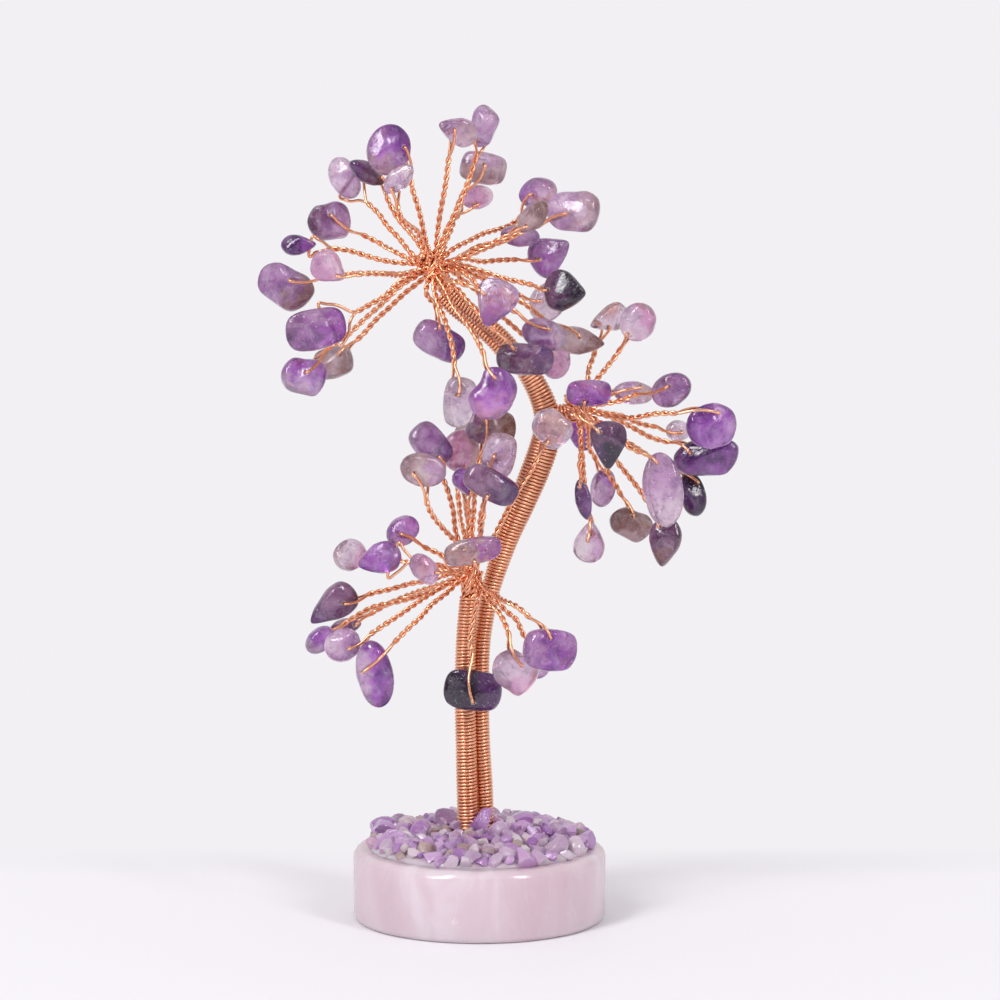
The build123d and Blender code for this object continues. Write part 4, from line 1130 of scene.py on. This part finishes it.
def crumb(size, chance):
    """A broken crumb of stone: flat faces and edges that are hardly rounded."""
    points, faces = CRUMB_BALL
    stretch = np.array((1, chance.uniform(.62, .95), chance.uniform(.5, .85))) * size / 2
    points = points * stretch * 1.4
    for _ in range(CRUMB_CUTS):
        normal = unit(np.array([chance.gauss(0, 1) for _ in range(3)]))
        depth = (points @ normal).max() * chance.uniform(*CRUMB_CUT_SHARE)
        points = soft_cut(points, normal, depth, size * .01)
    turn = Matrix.Rotation(chance.uniform(0, 6.28), 3, "Z")
    for axis in "XY":
        turn = turn @ Matrix.Rotation(chance.uniform(-.7, .7), 3, axis)
    return points @ np.array(turn).T, faces


def bed_height(radius):
    """How high the resin stands above the disc, this far from the middle."""
    rise = BED_CROWN_HEIGHT - BED_EDGE_HEIGHT
    ball_radius = ((BED_DIAMETER / 2)**2 + rise**2) / (2 * rise)
    return BED_CROWN_HEIGHT - ball_radius + math.sqrt(max(0, ball_radius**2 - radius**2))


def pool_height(radius):
    """How high the resin that shows between the crumbs stands above the disc."""
    return BED_EDGE_HEIGHT * .75 + (bed_height(radius) - BED_EDGE_HEIGHT) * POOL_SHARE


def build_gravel():
    """The heap of crumbs in two layers, in three pieces by colour."""
    chance = random.Random(GRAVEL_SEED)
    forms = {name: Parts() for name in CRUMB_COLOURS}
    placed = []
    stems = [MAIN_STEM[0], LEFT_STEM[0]]
    for attempt in range(CRUMB_TRIES):
        radius = HEAP_RADIUS * math.sqrt(chance.random())
        angle = chance.uniform(0, 2 * math.pi)
        size = chance.choice(CRUMB_SIZES)
        x = radius * math.cos(angle)
        y = radius * math.sin(angle)
        layer = 0 if attempt < LOWER_CRUMB_TRIES else 1
        rise = BASE_HEIGHT + pool_height(radius) + layer * LAYER_RISE + .06 * size
        if attempt == 0:
            x, y, rise = picture_point(FRONT_CRUMB_PX, FRONT_CRUMB_LAYER)
            size = CRUMB_SIZES[-1]
        elif any(math.hypot(x - stem[0], y - stem[1]) < stem[3] + size * .38 for stem in stems):
            continue
        if any((x - px)**2 + (y - py)**2 + (rise - pz)**2 < ((size + ps) * CRUMB_NEARNESS)**2
               for px, py, pz, ps in placed):
            continue
        placed.append((x, y, rise, size))
        points, faces = crumb(size, chance)
        name = chance.choice(list(forms)) if attempt else "gravel_violet"
        kind = chance.choice(CRUMB_COLOURS[name])
        main, pale, dark = [np.array(linear(colour)) for colour in COLOURS[kind]]
        tone = min(1, chance.uniform(*CRUMB_TONE))
        tint = main + (pale - main) * max(tone, 0) + (dark - main) * max(-tone, 0)
        tint += (1 - tint) * CRUMB_PALE_SHARE
        forms[name].add(points + np.array((x, y, rise)), faces, np.tile(tint, (len(points), 1)))
    for name, form in forms.items():
        piece = add_piece(name + "_crumbs", form.points, form.faces, CRUMB, "stand",
                          name.replace("gravel", "amethyst"), tint=form.tints, sharp=CRUMB_SHARP_DEG)
        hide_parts(name)


def lathe(rows, sides, waver):
    """A turned form from rows of radius and height, a little uneven round its rim."""
    rings = []
    for radius, height in rows:
        ring = []
        for corner in range(sides):
            angle = 2 * math.pi * corner / sides
            out, up = waver(angle, radius, height)
            ring.append(((radius + out) * math.cos(angle), (radius + out) * math.sin(angle), height + up))
        rings.append(np.array(ring))
    return skin(rings)


def build_disc():
    """The polished disc, its top rim worn slightly uneven by hand."""
    edge = BASE_DIAMETER / 2
    side = BASE_HEIGHT - BASE_TOP_ROUND - BASE_FOOT_ROUND
    rows = [(edge - BASE_FOOT_ROUND, 0)]
    for angle in [math.pi / 2 * step / 8 for step in range(1, 9)]:
        rows.append((edge - BASE_FOOT_ROUND * (1 - math.sin(angle)), BASE_FOOT_ROUND * (1 - math.cos(angle))))
    for step in range(1, 7):
        rows.append((edge, BASE_FOOT_ROUND + side * step / 7))
    for angle in [math.pi / 2 * step / 10 for step in range(11)]:
        rows.append((edge - BASE_TOP_ROUND * (1 - math.cos(angle)),
                     BASE_HEIGHT - BASE_TOP_ROUND * (1 - math.sin(angle))))
    rows += [(radius, BASE_HEIGHT) for radius in FLAT_TOP_RADII]

    def waver(angle, radius, height):
        place = Vector((math.cos(angle) * 1.6, math.sin(angle) * 1.6, height * .12))
        rim = max(0, 1 - abs(height - BASE_HEIGHT + .4) / 2.2) if radius > 17 else 0
        return (-.12 * abs(noise.noise(place)) - .16 * rim * abs(noise.noise(place * 2.3)),
                -.22 * rim * abs(noise.noise(place * 2.6 + Vector((9, 0, 0)))))

    disc = add_piece("quartz_disc", *lathe(rows, DISC_SIDES, waver), QUARTZ, "stand", "rose_quartz", sharp=60)
    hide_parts("base_disc")


def build_pool():
    """The poured resin between the crumbs, rippled, with an uneven rim."""
    rows = [(BED_DIAMETER / 2, BASE_HEIGHT - .3), (BED_DIAMETER / 2, BASE_HEIGHT + .35)]
    for step in range(1, POOL_RINGS + 1):
        radius = BED_DIAMETER / 2 * (1 - step / POOL_RINGS) * .985 + .02
        rows.append((radius, BASE_HEIGHT + pool_height(radius)))

    def ripple(angle, radius, height):
        right = math.cos(angle)
        back = math.sin(angle)
        rim = -.25 * abs(noise.noise(Vector((right * 4, back * 4, 0)))) if radius > 16 else 0
        return rim, .3 * noise.noise(Vector((right * radius * .45, back * radius * .45, 3)))

    pool = add_piece("resin_pool", *lathe(rows, POOL_SIDES, ripple), RESIN, "stand", "clear_resin")
    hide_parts("resin_bed")


# Put together. Each kind of stone: how clear it is, how much of it is veiled, how rough, and how
# strongly its body colours the light that passes through
GEM_KINDS = {
    "violet": (.7, .32, .04, 150), "mid": (.66, .38, .04, 130), "lilac": (.75, .42, .05, 50),
    "pale": (.8, .42, .05, 20), "rose": (.7, .42, .05, 40), "smoke": (.66, .42, .06, 80),
    "umber": (.4, .28, .07, 120), "dusk": (.6, .28, .05, 200), "deep": (.65, .2, .04, 340),
    "ink": (.5, .06, .03, 800),
}
GEMS = {kind: amethyst("amethyst_" + kind, clarity, veil, gloss, linear(COLOURS[kind][1])[:3], density)
        for kind, (clarity, veil, gloss, density) in GEM_KINDS.items()}
CRUMB = amethyst("amethyst_crumbs", clarity=.4, veil=.3, gloss=.02, zoning=.1)
COPPER = copper("copper_wire", worn=.5)
COPPER_COIL = copper("copper_coil", .4, "#FCC29E", "#DE8458", gloss=.26)
# The stems' inner bundle: dark, dull copper that paints the shade seen in the gaps between the turns of the
# winding
COPPER_PAINTED_SHADE = copper("copper_core_painted_shade", 1, "#8A4226", "#5A2817", metal=0)
QUARTZ = rose_quartz("rose_quartz")
RESIN = resin("clear_resin")

build_disc()
build_pool()
build_gravel()

ALL_STONES = CROWN.stones + LEFT_SPRAY.stones + RIGHT_SPRAY.stones
number = 0
for spray_name, spray, body, mouth in (
        ("crown", CROWN, "crown", MAIN_STEM[-2, :3]),
        ("left", LEFT_SPRAY, "left_spray", LEFT_STEM[-2, :3]),
        ("right", RIGHT_SPRAY, "right_spray", (NEAR_RIGHT_KNOT + RIGHT_KNOT) / 2)):
    for index, stone in enumerate(spray.stones):
        number += 1
        piece, points = build_stone(stone, stone.name if stone.swivels else body, number)
        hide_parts(stone.name if stone.swivels else spray_name + "_held_stones")
        twig = build_twig(spray, index, points, mouth, ALL_STONES, body, number)
        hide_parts(spray_name + "_twigs")
    knot = build_knot(spray_name, spray, unit(spray.knot - mouth), body, number)
    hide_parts(spray_name + "_knot")

# The stems are wound from the crumbs up, and the left one up to its bare fan
bed_top = BASE_HEIGHT + 1
wind("main", MAIN_STEM[MAIN_STEM[:, 2] > bed_top], "main_stem_lower_wrap", "main_stem_upper_wrap",
     "crown_stem_wrap", "main_stem_core")
left_distances = np.linalg.norm(LEFT_STEM[:, :3] - LEFT_STEM[-1, :3], axis=1)
left_wound = LEFT_STEM[:np.flatnonzero(left_distances > LEFT_FAN_LENGTH)[-1] + 1]
wind("left", left_wound[left_wound[:, 2] > bed_top], "left_stem_wrap", "left_stem_core")
wind("side", SIDE_STEM, "side_stem")

neck = build_neck("crown_neck", MAIN_STEM[-3, :3], CROWN_KNOT, 1, 1.5, count=11, coil=0, number=1)
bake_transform(neck)
neck = build_neck("left_neck", LEFT_STEM[-8, :3], LEFT_KNOT, .9, 1.5, count=11, coil=0, number=2)
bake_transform(neck)
neck = build_neck("right_neck", NEAR_RIGHT_KNOT, RIGHT_KNOT, .8, 1.2, count=9, coil=4, number=3)
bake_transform(neck)

# The floor, which the camera sees turn into a plain wall behind the ornament, the light and the camera
FLOOR_REACH = 90000
WALL_START = .03
WALL_END = .052
SKY_WAY = (0, .6, .8)
SEEN_SKY = .88
LAMP_AIM = Vector((0, 0, .07))
floor_nodes = Nodes(bpy.data.materials.new("floor"))
depth = floor_nodes.add("ShaderNodeSeparateXYZ")
floor_nodes.link(floor_nodes.place, depth.inputs["Vector"])
far = floor_nodes.ramp(depth.outputs["Y"], WALL_START, WALL_END)
floor_nodes.colour(floor_nodes.mix(far, linear("#EEECF1"), linear("#E9E7EC")))
floor_nodes.set(Roughness=.7)
wall = floor_nodes.add("ShaderNodeEmission")
wall.inputs["Color"].default_value = linear(WALL_COLOUR)
backdrop = floor_nodes.add("ShaderNodeMixShader")
floor_nodes.link(floor_nodes.math("MULTIPLY", floor_nodes.seen(), far), backdrop.inputs["Fac"])
floor_nodes.link(floor_nodes.shader.outputs["BSDF"], backdrop.inputs[1])
floor_nodes.link(wall.outputs["Emission"], backdrop.inputs[2])
floor_nodes.link(backdrop.outputs["Shader"], floor_nodes.tree.nodes["Material Output"].inputs["Surface"])
floor_points = [(x, y, 0) for x in (-FLOOR_REACH, FLOOR_REACH) for y in (-FLOOR_REACH, FLOOR_REACH)]
floor = add_piece("floor", floor_points, [(0, 2, 3, 1)], floor_nodes.owner, None, None)

# The studio: brightest overhead, and an even pale grey where the camera sees it
world = bpy.data.worlds.new("studio")
bpy.context.scene.world = world
studio = Nodes(world, "Generated")
height = studio.add("ShaderNodeVectorMath", operation="DOT_PRODUCT")
height.inputs[1].default_value = SKY_WAY
studio.link(studio.place, height.inputs[0])
light = studio.ramp(height.outputs["Value"], -.5, .6, .25, .72)
shown = studio.math("MULTIPLY", studio.seen(), SEEN_SKY)
sky = studio.tree.nodes["Background"]
studio.link(studio.math("MAXIMUM", light, shown), sky.inputs["Strength"])
sky.inputs["Color"].default_value = (1, .985, 1, 1)


def window(name, place, width, height, power):
    """A tall soft light that shines at the middle of the ornament."""
    light = bpy.data.lights.new(name, "AREA")
    light.shape = "RECTANGLE"
    light.size = width
    light.size_y = height
    light.energy = power
    lamp = add_object(name, light)
    lamp.location = place
    lamp.rotation_euler = (Vector(place) - LAMP_AIM).to_track_quat("Z", "Y").to_euler()


window("left_window", (-1.05, -1.25, 1.45), width=.45, height=1.4, power=24)
window("right_window", (1.2, -1.35, 1.15), width=.3, height=1.1, power=13)

view = bpy.data.cameras.new("view")
view.lens = view.sensor_width * VIEW_LENGTH / PICTURE_SPAN
view.clip_start = .01
camera = add_object("view", view)
camera.location = tuple(EYE * MM)
camera.rotation_euler = Vector(-FORWARD).to_track_quat("Z", "Y").to_euler()
bpy.context.scene.camera = camera
bpy.context.scene.view_settings.view_transform = "Standard"
